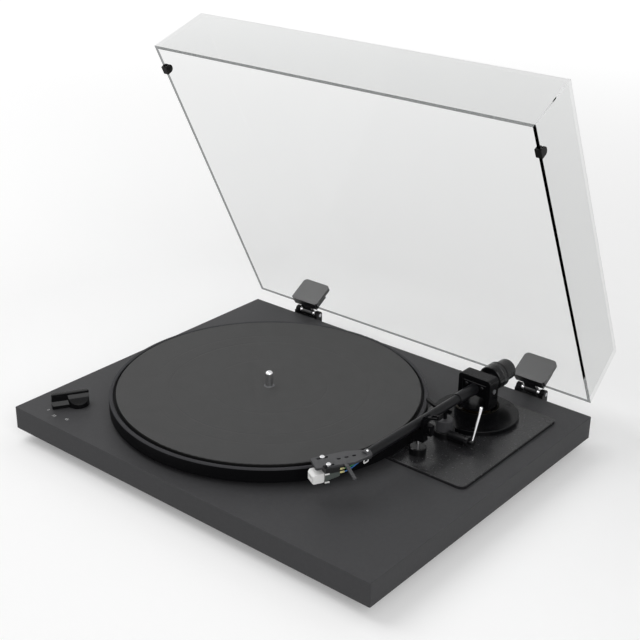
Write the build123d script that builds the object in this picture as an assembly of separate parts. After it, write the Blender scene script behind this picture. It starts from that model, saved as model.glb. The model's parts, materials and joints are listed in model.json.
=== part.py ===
from build123d import *
import os
from math import acos, atan, cos, degrees, hypot, radians, sin

# Turntable with an open clear lid. All sizes in millimetres. Drawn from the centre of the plinth's
# top face: X to the right, Y to the back, Z up. Each solid is then moved so that the origin
# of the finished part is on the spindle's axis, on top of the mat.

# General clearances
RUNNING = 0.05
GAP = 0.3

# Plinth, feet and underside covers
PLINTH_W = 420
PLINTH_D = 340
PLINTH_T = 22
PLINTH_EDGE = 1.2
FOOT_X = 158
FOOT_Y = 80
FOOT_R = 20
FOOT_H = 13
FOOT_TAPER = 3
FOOT_RECESS_R = 7
FOOT_WEB = 4
COVER_T = 1.6
COVER_LIP = 6
SCREW_R = 1.5
SCREW_HEAD_R = 3
SCREW_HEAD_H = 1.6

# Platter, mat and main bearing
PLATTER_X = -35.7
PLATTER_Y = -6.7
PLATTER_R = 150
PLATTER_LOW = 4.2
PLATTER_TOP = 15.3
PLATTER_WEB = 4
PLATTER_RIM_T = 12
LIP_H = 1.7
LIP_T = 4
LIP_ROUND = 1.3
MAT_R = PLATTER_R - 6.5
MAT_T = 3
MAT_ROUND = 0.8
SPINDLE_R = 3.6
SPINDLE_H = 15
SHAFT_R = 3
BOSS_R = 5
SUB_R = 62
SUB_T = 6.8
BELT_H = 4
BELT_T = 1
BUSH_T = 1.5
BUSH_TOP = 3.2
HOUSING_WALL = 4
HOUSING_LOW = -20
HOUSING_FLOOR = 3
FLANGE_R = 18
FLANGE_T = 2.5
BALL_R = 2.5

# Motor
MOTOR_DX = -85
MOTOR_DY = -49
MOTOR_R = 16
MOTOR_L = 19
MOTOR_ROOM = 1
MOTOR_PLATE_L = 50
MOTOR_PLATE_W = 30
MOTOR_PLATE_T = 1.6
MOTOR_SHAFT_R = 1
MOTOR_SHAFT_DEPTH = 12
PULLEY_R = 7
PULLEY_H = 5.8

# Selector knob and its switch
KNOB_X = -169.1
KNOB_Y = -127.4
KNOB_R = 10.2
KNOB_H = 14.5
KNOB_SCOOP_TOP = 12
KNOB_SCOOP_LOW = 3.8
KNOB_FIN_T = 4.4
KNOB_FOOT_T = 8.8
KNOB_FOOT_H = 3.4
KNOB_FOOT_TOP = 7
KNOB_REACH = 25
KNOB_ANGLE = 30.8
KNOB_LIFT = 0.4
STEM_R = 3
STEM_TIP_R = 1.5
STEM_TIP = 9
POCKET_SIZE = 40
POCKET_CEILING = -6
SWITCH_R = 8
SWITCH_H = 7
BOARD_T = 1.6
BOARD_POST_R = 2.2

# Arm board, base and pillar
PIVOT_X = PLATTER_X + PLATTER_R + 15.1
BOARD_X0 = PIVOT_X - 41.4
BOARD_X1 = PIVOT_X + 61.1
BOARD_Y0 = -17.5
BOARD_Y1 = 139.5
ARM_BOARD_T = 3
BOARD_ROUND = 6
PIVOT_Y = 96.8
BASE_R = 39.5
BASE_T = 4.3
BASE_SCREW_AT = 33.5
PILLAR_R = 20.5
PILLAR_H = 7.1
PILLAR_WALL = 1.8
PILLAR_FLOOR = 2
RING_T = 0.8
CUP_R = 13
CUP_H = 4
COLUMN_R = 7
YOKE_PLATE_R = 17.3
YOKE_PLATE_T = 1.8
YOKE_LOW = 18

# Arm: u runs forward along the tube, v to its right, w up, from the pivot at tube height
TUBE_Z = 33.3
REST_TURN = 0.9
TUBE_R = 4.2
TUBE_BORE = 3.4
SLEEVE_R = 5.2
SLEEVE_END = 34.5
YOKE_V = 17.3
YOKE_U = 7.1
YOKE_TOP = 45.4
YOKE_LEG = 4.8
YOKE_ROUND = 3.5
BLOCK_U = 6.5
BLOCK_DOWN = 7
BLOCK_UP = 6.2
BLOCK_SCREW_V = 8.4
BLOCK_SCREW_R = 1.6
PIVOT_SCREW_R = 2.2
PIVOT_TIP_R = 1.2
PIVOT_TIP_DEEP = 2

# Counterweight and dial, behind the pivot
STUB_R = 4
STUB_END = 44
DIAL_FRONT = 19
DIAL_R = 12
DIAL_T = 6.7
HUB_R = 7
WEIGHT_FRONT = 26
WEIGHT_R = 12.2
WEIGHT_L = 8
WEIGHT_GROOVE = 0.8
TAIL_R = 10
TAIL_L = 15

# Headshell and cartridge: a runs forward along the headshell, b to its near side
HEAD_U = 199.5
TUBE_END = HEAD_U - 36.5
HEAD_V = -15.7
HEAD_OFFSET = 25.8
HEAD_TOP = 2.3
HEAD_T = 2.2
HEAD_HALF = 9.8
HEAD_FRONT = 9.5
HEAD_CORNER_A = 11.4
HEAD_CORNER_B = 6.9
HEAD_NECK_FROM = -22
HEAD_NECK_HALF = 5.2
HEAD_REAR = -38
SLOT_L = 10.6
SLOT_W = 2.7
CART_SCREW_GAP = 12.7
CART_SCREW_R = 1.2
CART_HEAD_R = 2.2
CART_HEAD_H = 2
HOLE_L = 3.8
HOLE_W = 2.2
HOLE_FIRST = -12
HOLE_STEP = -7
FINGER_A = -14
FINGER_W = 3
FINGER_L = 18
FINGER_DROP = 4
FINGER_T = 1.4
CART_BACK = -9.5
CART_SPLIT = 3.3
CART_FRONT = 13.2
CART_HALF = 8.4
CART_H = 11.8
CART_RISE = 2.4
NOSE_HALF = 6
NOSE_DOWN = 5
NOSE_SLOPE = 2.2
NOSE_RECESS = 0.8
NOSE_H = 13.4
STYLUS_R = 0.4
STYLUS_L = 0.6
LEAD_R = 0.45
LEAD_L = 9
LEAD_BEND = 4

# Arm rest
REST_X = PIVOT_X - 1.4
REST_Y = 5
REST_COLLAR_R = 7.6
REST_COLLAR_H = 7
REST_ROD_R = 1.8
CLIP_LOW = 17
CLIP_DEPTH = 7
CLIP_IN = 5.5
CLIP_OUT = 7.5
CLIP_GAP = 0.4
CLIP_UP = 6
LATCH_X = 8
LATCH_Z = 8.2
LATCH_BARREL_R = 1.6
LATCH_PIN_R = 0.8
LATCH_EAR = 1.8
LATCH_GUSSET = 2.4
LATCH_T = 1.6
LATCH_REACH = 15
LATCH_HOOK = 2
LATCH_HANG = -15
LUG_REACH = 7
LUG_LOW = 8
LUG_HIGH = 1.5
LUG_WALL = 1.8

# Arm lift
LIFT_X = PIVOT_X - 1.7
LIFT_Y = 46.6
LIFT_FLANGE_R = 9.7
LIFT_FLANGE_T = 6.2
LIFT_COLUMN_R = 7.8
LIFT_COLUMN_TOP = 20
LIFT_ROD_R = 1.8
LIFT_TRAVEL = 5.8
RAIL_W = 3
RAIL_T = 2.6
RAIL_BACK = 5
RAIL_IN = 32
HOUSING_Y = 41.7
HOUSING_Z = 9
HOUSING_R = 4
HOUSING_X0 = PIVOT_X + 8.6
HOUSING_X1 = PIVOT_X + 24.4
CAM_R = 5
CAM_T = 3.5
AXLE_R = 1.6
AXLE_END_R = 2.2
AXLE_X1 = PIVOT_X + 33
LEVER_X = PIVOT_X + 31
LEVER_LEAN = 20.7
LEVER_L = 32
LEVER_R0 = 0.8
LEVER_R1 = 1.5

# Lid, its bumpers and hinges
LID_W = 412.5
LID_D = 332.5
LID_RIM = 2
LID_H = 63.8
LID_WALL = 3
LID_INSET = 5.3
LID_ROUND = 2
LID_OPEN = 63.3
BUMPER_Y = -138.5
BUMPER_L = 8
BUMPER_H = 7.9
BUMPER_T = 1.55
BUMPER_ROUND = 3.6
HINGE_X = 141
HINGE_Y = 177.6
HINGE_Z = 1.9
CLAMP_W = 35
CLAMP_H = 27
CLAMP_T = 2
PLATE_T = 4
CLAMP_ROUND = 4.5
LEAF_W = 31
LEAF_H = 18
WEB_T = 1.2
KNUCKLE_W = 13
KNUCKLE_R = 3.8
PIN_R = 2
EAR_R = 4
EAR_W = 4.7
BRACKET_T = 2
BRACKET_LOW = -20
BRACKET_HIGH = -1
HINGE_SCREW_AT = 7.5
CLAMP_SCREW_AT = 10.5
CLAMP_SCREW_UP = 11
CLAMP_SCREW_R = 1.6

# Rear terminals
TERMINAL_X = 78
TERMINAL_W = 68
TERMINAL_H = 18
TERMINAL_T = 1.5
TERMINAL_Z = -11
BAY_W = 56
BAY_H = 13
BAY_D = 24
PHONO_R = 4.15
PHONO_L = 9
PHONO_STEP = 14
PHONO_FLANGE_R = 5.5
INLET_R = 2.75
INLET_BODY_R = 5
INLET_L = 9

# Worked out from the sizes above
MAT_TOP = PLATTER_TOP + MAT_T
PLATTER_UNDER = PLATTER_TOP - PLATTER_WEB
SUB_LOW = PLATTER_UNDER - SUB_T
BELT_LOW = SUB_LOW + (SUB_T - BELT_H) / 2
BASE_TOP = ARM_BOARD_T + BASE_T
PILLAR_TOP = BASE_TOP + PILLAR_H
PILLAR_SEAT = BASE_TOP + PILLAR_FLOOR
MOTOR_X = PLATTER_X + MOTOR_DX
MOTOR_Y = PLATTER_Y + MOTOR_DY
PLINTH_LOW = -PLINTH_T
PLINTH_BACK = PLINTH_D / 2
RAIL_TOP = TUBE_Z - TUBE_R - GAP
LID_TAPER = degrees(atan(LID_INSET / LID_H))
ARM = Pos(PIVOT_X, PIVOT_Y, TUBE_Z) * Rot(0, 0, -90 - REST_TURN)
HEAD = ARM * Pos(HEAD_U, HEAD_V, 0) * Rot(0, 0, -HEAD_OFFSET)
REST_TUBE_X = PIVOT_X - (PIVOT_Y - REST_Y) * sin(radians(REST_TURN))
LID_AXIS = Axis((0, HINGE_Y, HINGE_Z), (1, 0, 0))
UP = (Align.CENTER, Align.CENTER, Align.MIN)


def save(name, *solids):
    """Write one or more separate solids as one node, from the spindle's origin."""
    moved = [Pos(-PLATTER_X, -PLATTER_Y, -MAT_TOP) * solid for solid in solids]
    whole = moved[0] if len(moved) == 1 else Compound(children=moved)
    export_step(whole, f"parts/{name}.step")


def drum(x, y, low, high, radius):
    """Upright cylinder between two heights."""
    return Pos(x, y, low) * Cylinder(radius, high - low, align=UP)


def tube(x, y, low, high, outer, inner):
    """Upright ring between two heights."""
    return drum(x, y, low, high, outer) - drum(x, y, low, high, inner)


def block(x0, x1, y0, y1, z0, z1):
    """Box between two corners, given in either order."""
    middle = Pos((x0 + x1) / 2, (y0 + y1) / 2, (z0 + z1) / 2)
    return middle * Box(abs(x1 - x0), abs(y1 - y0), abs(z1 - z0))


def rod(start, end, radius, end_radius=None):
    """Round bar between two points, straight or tapered."""
    way = Vector(*end) - Vector(*start)
    plane = Plane(origin=start, z_dir=way)
    if end_radius is None:
        return plane * Cylinder(radius, way.length, align=UP)
    return plane * Cone(radius, end_radius, way.length, align=UP)


def screw(head, tip, radius, head_radius, head_height):
    """Screw with a round head that stands on the point named head and a shank down to tip."""
    way = (Vector(*tip) - Vector(*head)).normalized()
    top = Vector(*head) - way * head_height
    cap = rod(tuple(top), head, head_radius)
    rim = cap.edges().filter_by(GeomType.CIRCLE).sort_by_distance(top)[0]
    return chamfer(rim, head_height * 0.35) + rod(head, tip, radius)


def corners(half_x, half_y):
    """Four points about the origin."""
    return [(sx * half_x, sy * half_y) for sy in (-1, 1) for sx in (-1, 1)]


FEET = corners(FOOT_X, FOOT_Y)
BOARD_SCREWS = [(BOARD_X0 + 9, BOARD_Y1 - 9), (BOARD_X1 - 9, BOARD_Y1 - 9), (BOARD_X1 - 9, BOARD_Y0 + 9)]
COVER_HALF = POCKET_SIZE / 2 + COVER_LIP
POCKET_SCREWS = [(KNOB_X + dx, KNOB_Y + dy)
                 for dx, dy in corners(COVER_HALF - COVER_LIP / 2, COVER_HALF - COVER_LIP / 2)]
MOTOR_COVER_R = MOTOR_R + MOTOR_ROOM + COVER_LIP
MOTOR_COVER_SCREWS = [(MOTOR_X + (MOTOR_COVER_R - COVER_LIP / 2) * cos(radians(a)),
                       MOTOR_Y + (MOTOR_COVER_R - COVER_LIP / 2) * sin(radians(a)))
                      for a in (30, 150, 270)]
MOTOR_PLATE_SCREWS = [(MOTOR_X + s * (MOTOR_PLATE_L / 2 - 4), MOTOR_Y) for s in (-1, 1)]
BASE_SCREWS = [(PIVOT_X + BASE_SCREW_AT * cos(radians(a)), PIVOT_Y + BASE_SCREW_AT * sin(radians(a)))
               for a in (60, 180, 300)]
COVER_SCREW_TIP = PLINTH_LOW + 9
FOOT_SCREW_R = 2
FOOT_SCREW_TIP = PLINTH_LOW + 12
FOOT_SEAT = PLINTH_LOW - FOOT_WEB


def make_plinth():
    """Slab with its bores, switch pocket, motor well, cover rebates and rear bay."""
    slab = block(-PLINTH_W / 2, PLINTH_W / 2, -PLINTH_D / 2, PLINTH_D / 2, PLINTH_LOW, 0)
    slab = fillet(slab.edges().filter_by(Axis.Z), PLINTH_EDGE)
    slab = chamfer(slab.faces().sort_by(Axis.Z)[-1].edges(), PLINTH_EDGE / 3)
    slab -= drum(PLATTER_X, PLATTER_Y, HOUSING_LOW, 0, SHAFT_R + RUNNING + BUSH_T + HOUSING_WALL)
    slab -= drum(MOTOR_X, MOTOR_Y, PLINTH_LOW, 0, MOTOR_R + MOTOR_ROOM)
    slab -= drum(MOTOR_X, MOTOR_Y, PLINTH_LOW, PLINTH_LOW + COVER_T, MOTOR_COVER_R)
    slab -= block(KNOB_X - POCKET_SIZE / 2, KNOB_X + POCKET_SIZE / 2,
                  KNOB_Y - POCKET_SIZE / 2, KNOB_Y + POCKET_SIZE / 2, PLINTH_LOW, POCKET_CEILING)
    slab -= block(KNOB_X - COVER_HALF, KNOB_X + COVER_HALF,
                  KNOB_Y - COVER_HALF, KNOB_Y + COVER_HALF, PLINTH_LOW, PLINTH_LOW + COVER_T)
    slab -= drum(KNOB_X, KNOB_Y, POCKET_CEILING, 0, STEM_R + GAP)
    slab -= block(TERMINAL_X - BAY_W / 2, TERMINAL_X + BAY_W / 2, PLINTH_BACK - BAY_D, PLINTH_BACK,
                  TERMINAL_Z - BAY_H / 2, TERMINAL_Z + BAY_H / 2)
    for x, y in FEET:
        slab -= drum(x, y, PLINTH_LOW, FOOT_SCREW_TIP, FOOT_SCREW_R)
    for x, y in POCKET_SCREWS + MOTOR_COVER_SCREWS:
        slab -= drum(x, y, PLINTH_LOW, COVER_SCREW_TIP, SCREW_R)
    for x, y in BOARD_SCREWS:
        slab -= drum(x, y, PLINTH_LOW, 0, SCREW_R)
    for x, y in MOTOR_PLATE_SCREWS + BASE_SCREWS:
        slab -= drum(x, y, COVER_SCREW_TIP, 0, SCREW_R)
    for tip, head in rear_screw_lines():
        slab -= rod(tip, (head[0], PLINTH_BACK, head[2]), SCREW_R)
    return slab


def rear_screw_lines():
    """Tips and heads of the screws in the plinth's back: four in the hinges, two in the plate."""
    lines = []
    for side in (-1, 1):
        for shift in (-HINGE_SCREW_AT, HINGE_SCREW_AT):
            x = side * HINGE_X + shift
            z = (BRACKET_LOW + BRACKET_HIGH) / 2 - 3
            lines.append(((x, PLINTH_BACK - 12, z), (x, PLINTH_BACK + BRACKET_T, z)))
    for side in (-1, 1):
        x = TERMINAL_X + side * (TERMINAL_W + BAY_W) / 4
        lines.append(((x, PLINTH_BACK - 8, TERMINAL_Z), (x, PLINTH_BACK + TERMINAL_T, TERMINAL_Z)))
    return lines


def make_feet():
    """Four tapered rubber feet with a recess for their screws."""
    feet = []
    for x, y in FEET:
        foot = Pos(x, y, PLINTH_LOW - FOOT_H) * Cone(FOOT_R - FOOT_TAPER, FOOT_R, FOOT_H, align=UP)
        foot = fillet(foot.edges().sort_by(Axis.Z)[0], 1.5)
        foot -= drum(x, y, PLINTH_LOW - FOOT_H, FOOT_SEAT, FOOT_RECESS_R)
        foot -= drum(x, y, FOOT_SEAT, PLINTH_LOW, FOOT_SCREW_R)
        feet.append(foot)
    return feet


def make_underside_screws():
    """Screws of the feet, of the two covers and of the arm board, all from below."""
    screws = []
    for x, y in FEET:
        screws.append(screw((x, y, FOOT_SEAT), (x, y, FOOT_SCREW_TIP), FOOT_SCREW_R, 5, 3))
    for x, y in POCKET_SCREWS + MOTOR_COVER_SCREWS:
        screws.append(screw((x, y, PLINTH_LOW), (x, y, COVER_SCREW_TIP), SCREW_R,
                            SCREW_HEAD_R, SCREW_HEAD_H))
    for x, y in BOARD_SCREWS:
        screws.append(screw((x, y, PLINTH_LOW), (x, y, ARM_BOARD_T - 1), SCREW_R,
                            SCREW_HEAD_R, SCREW_HEAD_H))
    return screws


def make_covers():
    """Square cover under the switch and round cover under the motor, let into their rebates."""
    top = PLINTH_LOW + COVER_T
    half = COVER_HALF - 0.2
    square = block(KNOB_X - half, KNOB_X + half, KNOB_Y - half, KNOB_Y + half, PLINTH_LOW, top)
    disc = drum(MOTOR_X, MOTOR_Y, PLINTH_LOW, top, MOTOR_COVER_R - 0.2)
    for x, y in POCKET_SCREWS:
        square -= drum(x, y, PLINTH_LOW, top, SCREW_R)
    for x, y in MOTOR_COVER_SCREWS:
        disc -= drum(x, y, PLINTH_LOW, top, SCREW_R)
    return square, disc


def make_bearing():
    """Housing, bush and ball that carry the platter's shaft."""
    bore = SHAFT_R + RUNNING
    outer = bore + BUSH_T
    floor = HOUSING_LOW + HOUSING_FLOOR
    housing = drum(PLATTER_X, PLATTER_Y, HOUSING_LOW, FLANGE_T, outer + HOUSING_WALL)
    housing += drum(PLATTER_X, PLATTER_Y, 0, FLANGE_T, FLANGE_R)
    housing -= drum(PLATTER_X, PLATTER_Y, floor, FLANGE_T, outer)
    bush = tube(PLATTER_X, PLATTER_Y, floor, BUSH_TOP, outer, bore)
    ball = Pos(PLATTER_X, PLATTER_Y, floor + BALL_R) * Sphere(BALL_R)
    return housing, bush, ball


def make_spindle():
    """One shaft: journal up to the mat's top, record spindle with a domed tip above."""
    foot = HOUSING_LOW + HOUSING_FLOOR + 2 * BALL_R + RUNNING
    tip = MAT_TOP + SPINDLE_H
    shaft = drum(PLATTER_X, PLATTER_Y, foot, MAT_TOP, SHAFT_R)
    shaft += drum(PLATTER_X, PLATTER_Y, MAT_TOP, tip, SPINDLE_R)
    return fillet(shaft.edges().sort_by(Axis.Z)[-1], SPINDLE_R * 0.75)


def make_sub_platter():
    """Inner disc with a flange under and over the belt's track and a boss that centres the platter."""
    disc = drum(PLATTER_X, PLATTER_Y, SUB_LOW, PLATTER_UNDER, SUB_R)
    for low in (SUB_LOW, PLATTER_UNDER - 0.6):
        disc += drum(PLATTER_X, PLATTER_Y, low, low + 0.6, SUB_R + BELT_T)
    disc += drum(PLATTER_X, PLATTER_Y, PLATTER_UNDER, MAT_TOP, BOSS_R)
    return disc - drum(PLATTER_X, PLATTER_Y, SUB_LOW, MAT_TOP, SHAFT_R)


def make_platter():
    """Turned dish: web, deep rim and a rounded lip round the mat."""
    inner = BOSS_R + RUNNING
    outline = [(inner, PLATTER_UNDER), (PLATTER_R - PLATTER_RIM_T, PLATTER_UNDER),
               (PLATTER_R - PLATTER_RIM_T, PLATTER_LOW), (PLATTER_R, PLATTER_LOW),
               (PLATTER_R, PLATTER_TOP + LIP_H), (PLATTER_R - LIP_T, PLATTER_TOP + LIP_H),
               (PLATTER_R - LIP_T, PLATTER_TOP), (inner, PLATTER_TOP)]
    face = make_face(Polyline([(r, 0, z) for r, z in outline], close=True))
    dish = revolve(face, Axis.Z)
    dish = fillet(dish.faces().sort_by(Axis.Z)[-1].edges(), LIP_ROUND)
    return Pos(PLATTER_X, PLATTER_Y, 0) * dish


def make_mat():
    """Rubber mat with a rounded edge and a hole for the boss."""
    mat = drum(PLATTER_X, PLATTER_Y, PLATTER_TOP, MAT_TOP, MAT_R)
    mat = fillet(mat.edges().sort_by(Axis.Z)[-1], MAT_ROUND)
    return mat - drum(PLATTER_X, PLATTER_Y, PLATTER_TOP, MAT_TOP, BOSS_R + 2 * RUNNING)


def loop_face(big, small, span):
    """Flat outline of a belt round two wheels, the small one at distance span on +X."""
    lean = acos((big - small) / span)
    points = [(big * cos(lean), big * sin(lean)), (span + small * cos(lean), small * sin(lean)),
              (span + small * cos(lean), -small * sin(lean)), (big * cos(lean), -big * sin(lean))]
    sides = make_face(Polyline(points, close=True))
    return sides + Circle(big) + Pos(span, 0, 0) * Circle(small)


def make_belt():
    """Flat belt round the sub-platter and the pulley, a hair off both."""
    span = hypot(MOTOR_DX, MOTOR_DY)
    inner = loop_face(SUB_R + GAP, PULLEY_R + GAP, span)
    outer = loop_face(SUB_R + GAP + BELT_T, PULLEY_R + GAP + BELT_T, span)
    belt = extrude(outer - inner, BELT_H)
    turn = Rot(0, 0, degrees(acos(MOTOR_DX / span)) * (1 if MOTOR_DY > 0 else -1))
    return Pos(PLATTER_X, PLATTER_Y, BELT_LOW) * turn * belt


def make_motor():
    """Motor can hung under its plate, the plate's two screws, the shaft and the pulley."""
    can = drum(MOTOR_X, MOTOR_Y, -MOTOR_L, 0, MOTOR_R)
    can -= drum(MOTOR_X, MOTOR_Y, -MOTOR_SHAFT_DEPTH, 0, MOTOR_SHAFT_R + RUNNING)
    plate = Pos(MOTOR_X, MOTOR_Y, 0) * extrude(SlotOverall(MOTOR_PLATE_L, MOTOR_PLATE_W), MOTOR_PLATE_T)
    plate -= drum(MOTOR_X, MOTOR_Y, 0, MOTOR_PLATE_T, MOTOR_SHAFT_R + 2)
    for x, y in MOTOR_PLATE_SCREWS:
        plate -= drum(x, y, 0, MOTOR_PLATE_T, SCREW_R)
    pulley_top = SUB_LOW + PULLEY_H
    shaft = drum(MOTOR_X, MOTOR_Y, RUNNING - MOTOR_SHAFT_DEPTH, pulley_top, MOTOR_SHAFT_R)
    pulley = tube(MOTOR_X, MOTOR_Y, SUB_LOW, pulley_top, PULLEY_R, MOTOR_SHAFT_R)
    return can, plate, shaft, pulley


def make_top_screws():
    """Screws through the motor plate and through the arm base, down into the plinth."""
    screws = []
    for x, y in MOTOR_PLATE_SCREWS:
        screws.append(screw((x, y, MOTOR_PLATE_T), (x, y, COVER_SCREW_TIP), SCREW_R,
                            SCREW_HEAD_R, SCREW_HEAD_H))
    for x, y in BASE_SCREWS:
        head = drum(x, y, BASE_TOP - SCREW_HEAD_H, BASE_TOP, SCREW_HEAD_R - 0.6)
        screws.append(head + drum(x, y, COVER_SCREW_TIP, BASE_TOP, SCREW_R))
    return screws


def make_selector():
    """Switch on its circuit board, the board's posts, the stepped stem and the bladed knob."""
    switch_low = POCKET_CEILING - SWITCH_H
    board_low = switch_low - BOARD_T
    switch = drum(KNOB_X, KNOB_Y, switch_low, POCKET_CEILING, SWITCH_R)
    switch -= drum(KNOB_X, KNOB_Y, switch_low + 2, POCKET_CEILING, STEM_R + RUNNING)
    half = POCKET_SIZE / 2 - 1
    board = block(KNOB_X - half, KNOB_X + half, KNOB_Y - half, KNOB_Y + half, board_low, switch_low)
    posts = [drum(KNOB_X + dx, KNOB_Y + dy, switch_low, POCKET_CEILING, BOARD_POST_R)
             for dx, dy in corners(half - 4, half - 4)]
    chip = block(KNOB_X - 14, KNOB_X + 2, KNOB_Y - 16, KNOB_Y - 10, switch_low, switch_low + 2)
    stem = drum(KNOB_X, KNOB_Y, switch_low + 2 + RUNNING, -0.5, STEM_R)
    stem += drum(KNOB_X, KNOB_Y, -0.5, STEM_TIP, STEM_TIP_R)
    return switch, [board, chip] + posts, stem, make_knob()


def make_knob():
    """Round knob scooped on both sides of a tall blade, which is the pointer and has a wider foot."""
    base = drum(0, 0, KNOB_LIFT, KNOB_H - 1, KNOB_R)
    side = KNOB_FIN_T / 2
    rim, above = KNOB_R + 1, KNOB_H + 1
    arc = ThreePointArc((0, side, KNOB_SCOOP_TOP), (0, side + 3, KNOB_SCOOP_TOP - 4.6),
                        (0, rim, KNOB_SCOOP_LOW))
    edge = Polyline((0, rim, KNOB_SCOOP_LOW), (0, rim, above), (0, side, above), (0, side, KNOB_SCOOP_TOP))
    scoop = extrude(make_face(arc + edge), 2 * rim, dir=(1, 0, 0)).translate((-rim, 0, 0))
    base -= scoop
    base -= mirror(scoop, Plane.XZ)
    blade = block(-KNOB_R + 0.4, KNOB_REACH, -KNOB_FIN_T / 2, KNOB_FIN_T / 2, KNOB_LIFT, KNOB_H)
    blade = fillet(blade.edges().filter_by(Axis.Z), 1)
    blade = fillet(blade.faces().sort_by(Axis.Z)[-1].edges(), 0.6)
    foot_side = KNOB_FOOT_T / 2
    foot = [(foot_side, KNOB_LIFT), (foot_side, KNOB_FOOT_H), (side, KNOB_FOOT_TOP),
            (-side, KNOB_FOOT_TOP), (-foot_side, KNOB_FOOT_H), (-foot_side, KNOB_LIFT)]
    face = make_face(Polyline([(0, y, z) for y, z in foot], close=True))
    pointer = extrude(face, KNOB_REACH, dir=(1, 0, 0))
    pointer = fillet(pointer.edges().filter_by(Axis.Z).sort_by(Axis.X)[-2:], 1.5)
    knob = base + blade + pointer - drum(0, 0, 0, STEM_TIP, STEM_TIP_R)
    return Pos(KNOB_X, KNOB_Y, 0) * Rot(0, 0, -90 - KNOB_ANGLE) * knob


def make_arm_board():
    """Glossy plate with rounded corners that carries everything of the arm."""
    plate = block(BOARD_X0, BOARD_X1, BOARD_Y0, BOARD_Y1, 0, ARM_BOARD_T)
    plate = fillet(plate.edges().filter_by(Axis.Z), BOARD_ROUND)
    plate = chamfer(plate.faces().sort_by(Axis.Z)[-1].edges(), 0.5)
    for x, y in BOARD_SCREWS:
        plate -= drum(x, y, 0, ARM_BOARD_T - 1, SCREW_R)
    for x, y in BASE_SCREWS:
        plate -= drum(x, y, 0, ARM_BOARD_T, SCREW_R)
    return plate


def make_arm_base():
    """Base disc, cup-shaped pillar with its bright ring, and the bearing cup inside it."""
    disc = drum(PIVOT_X, PIVOT_Y, ARM_BOARD_T, BASE_TOP, BASE_R)
    disc = fillet(disc.edges().sort_by(Axis.Z)[-1], 0.8)
    for x, y in BASE_SCREWS:
        disc -= drum(x, y, ARM_BOARD_T, BASE_TOP, SCREW_R)
        disc -= drum(x, y, BASE_TOP - SCREW_HEAD_H, BASE_TOP, SCREW_HEAD_R - 0.6)
    inner = PILLAR_R - PILLAR_WALL
    pillar = drum(PIVOT_X, PIVOT_Y, BASE_TOP, PILLAR_TOP, PILLAR_R)
    pillar -= drum(PIVOT_X, PIVOT_Y, PILLAR_SEAT, PILLAR_TOP, inner)
    ring = tube(PIVOT_X, PIVOT_Y, PILLAR_TOP, PILLAR_TOP + RING_T, PILLAR_R, inner)
    cup = tube(PIVOT_X, PIVOT_Y, PILLAR_SEAT, PILLAR_SEAT + CUP_H, CUP_R, COLUMN_R + RUNNING)
    return disc, pillar, ring, cup


def make_pivot_column():
    """Turning column in the bearing cup, with the plate that the yoke stands on."""
    low = PILLAR_SEAT + 2 * RUNNING
    column = drum(PIVOT_X, PIVOT_Y, low, YOKE_LOW, COLUMN_R)
    column += drum(PIVOT_X, PIVOT_Y, YOKE_LOW - YOKE_PLATE_T, YOKE_LOW, YOKE_PLATE_R)
    return column


def make_yoke():
    """Arch over the bearing block: two legs and a bar, rounded at the top."""
    top = YOKE_TOP - TUBE_Z
    low = YOKE_LOW - TUBE_Z
    arch = block(-YOKE_U, YOKE_U, -YOKE_V, YOKE_V, low, top)
    arch = fillet(arch.edges().filter_by(Axis.X).sort_by(Axis.Z)[-2:], YOKE_ROUND)
    inside = YOKE_V - YOKE_LEG
    arch -= block(-YOKE_U, YOKE_U, -inside, inside, low, top - YOKE_LEG)
    arch = chamfer(arch.faces().filter_by(Axis.X).edges(), 0.4)
    arch -= rod((0, -YOKE_V, 0), (0, YOKE_V, 0), PIVOT_SCREW_R)
    return ARM * arch


def make_pivot_screws():
    """Pointed bearing screws, one through each leg, whose tips carry the block."""
    screws = []
    shoulder = YOKE_V - YOKE_LEG - GAP / 2
    for side in (-1, 1):
        body = rod((0, side * shoulder, 0), (0, side * (YOKE_V + 0.7), 0), PIVOT_SCREW_R)
        tip = rod((0, side * (shoulder - PIVOT_TIP_DEEP), 0), (0, side * shoulder, 0), PIVOT_TIP_R)
        slot = block(-PIVOT_SCREW_R, PIVOT_SCREW_R, side * (YOKE_V + 0.1), side * (YOKE_V + 1),
                     -0.35, 0.35)
        screws.append(ARM * (body + tip - slot))
    return screws


BLOCK_V = YOKE_V - YOKE_LEG - GAP - 0.1


def make_arm_block():
    """Bearing block between the legs, bored for the tube, the pivot tips and two screws."""
    body = block(-BLOCK_U, BLOCK_U, -BLOCK_V, BLOCK_V, -BLOCK_DOWN, BLOCK_UP)
    body = chamfer(body.edges().filter_by(Axis.Y), 0.6)
    body -= rod((-BLOCK_U, 0, 0), (BLOCK_U, 0, 0), TUBE_R)
    deep = YOKE_V - YOKE_LEG - GAP / 2 - PIVOT_TIP_DEEP - 0.2
    for side in (-1, 1):
        body -= rod((0, side * deep, 0), (0, side * BLOCK_V, 0), PIVOT_TIP_R + RUNNING)
        body -= rod((1.5, side * BLOCK_SCREW_V, 3), (BLOCK_U, side * BLOCK_SCREW_V, 3), 1)
    screws = [ARM * screw((BLOCK_U, side * BLOCK_SCREW_V, 3), (1.5, side * BLOCK_SCREW_V, 3), 1,
                          BLOCK_SCREW_R, 1) for side in (-1, 1)]
    return ARM * body, screws


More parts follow.
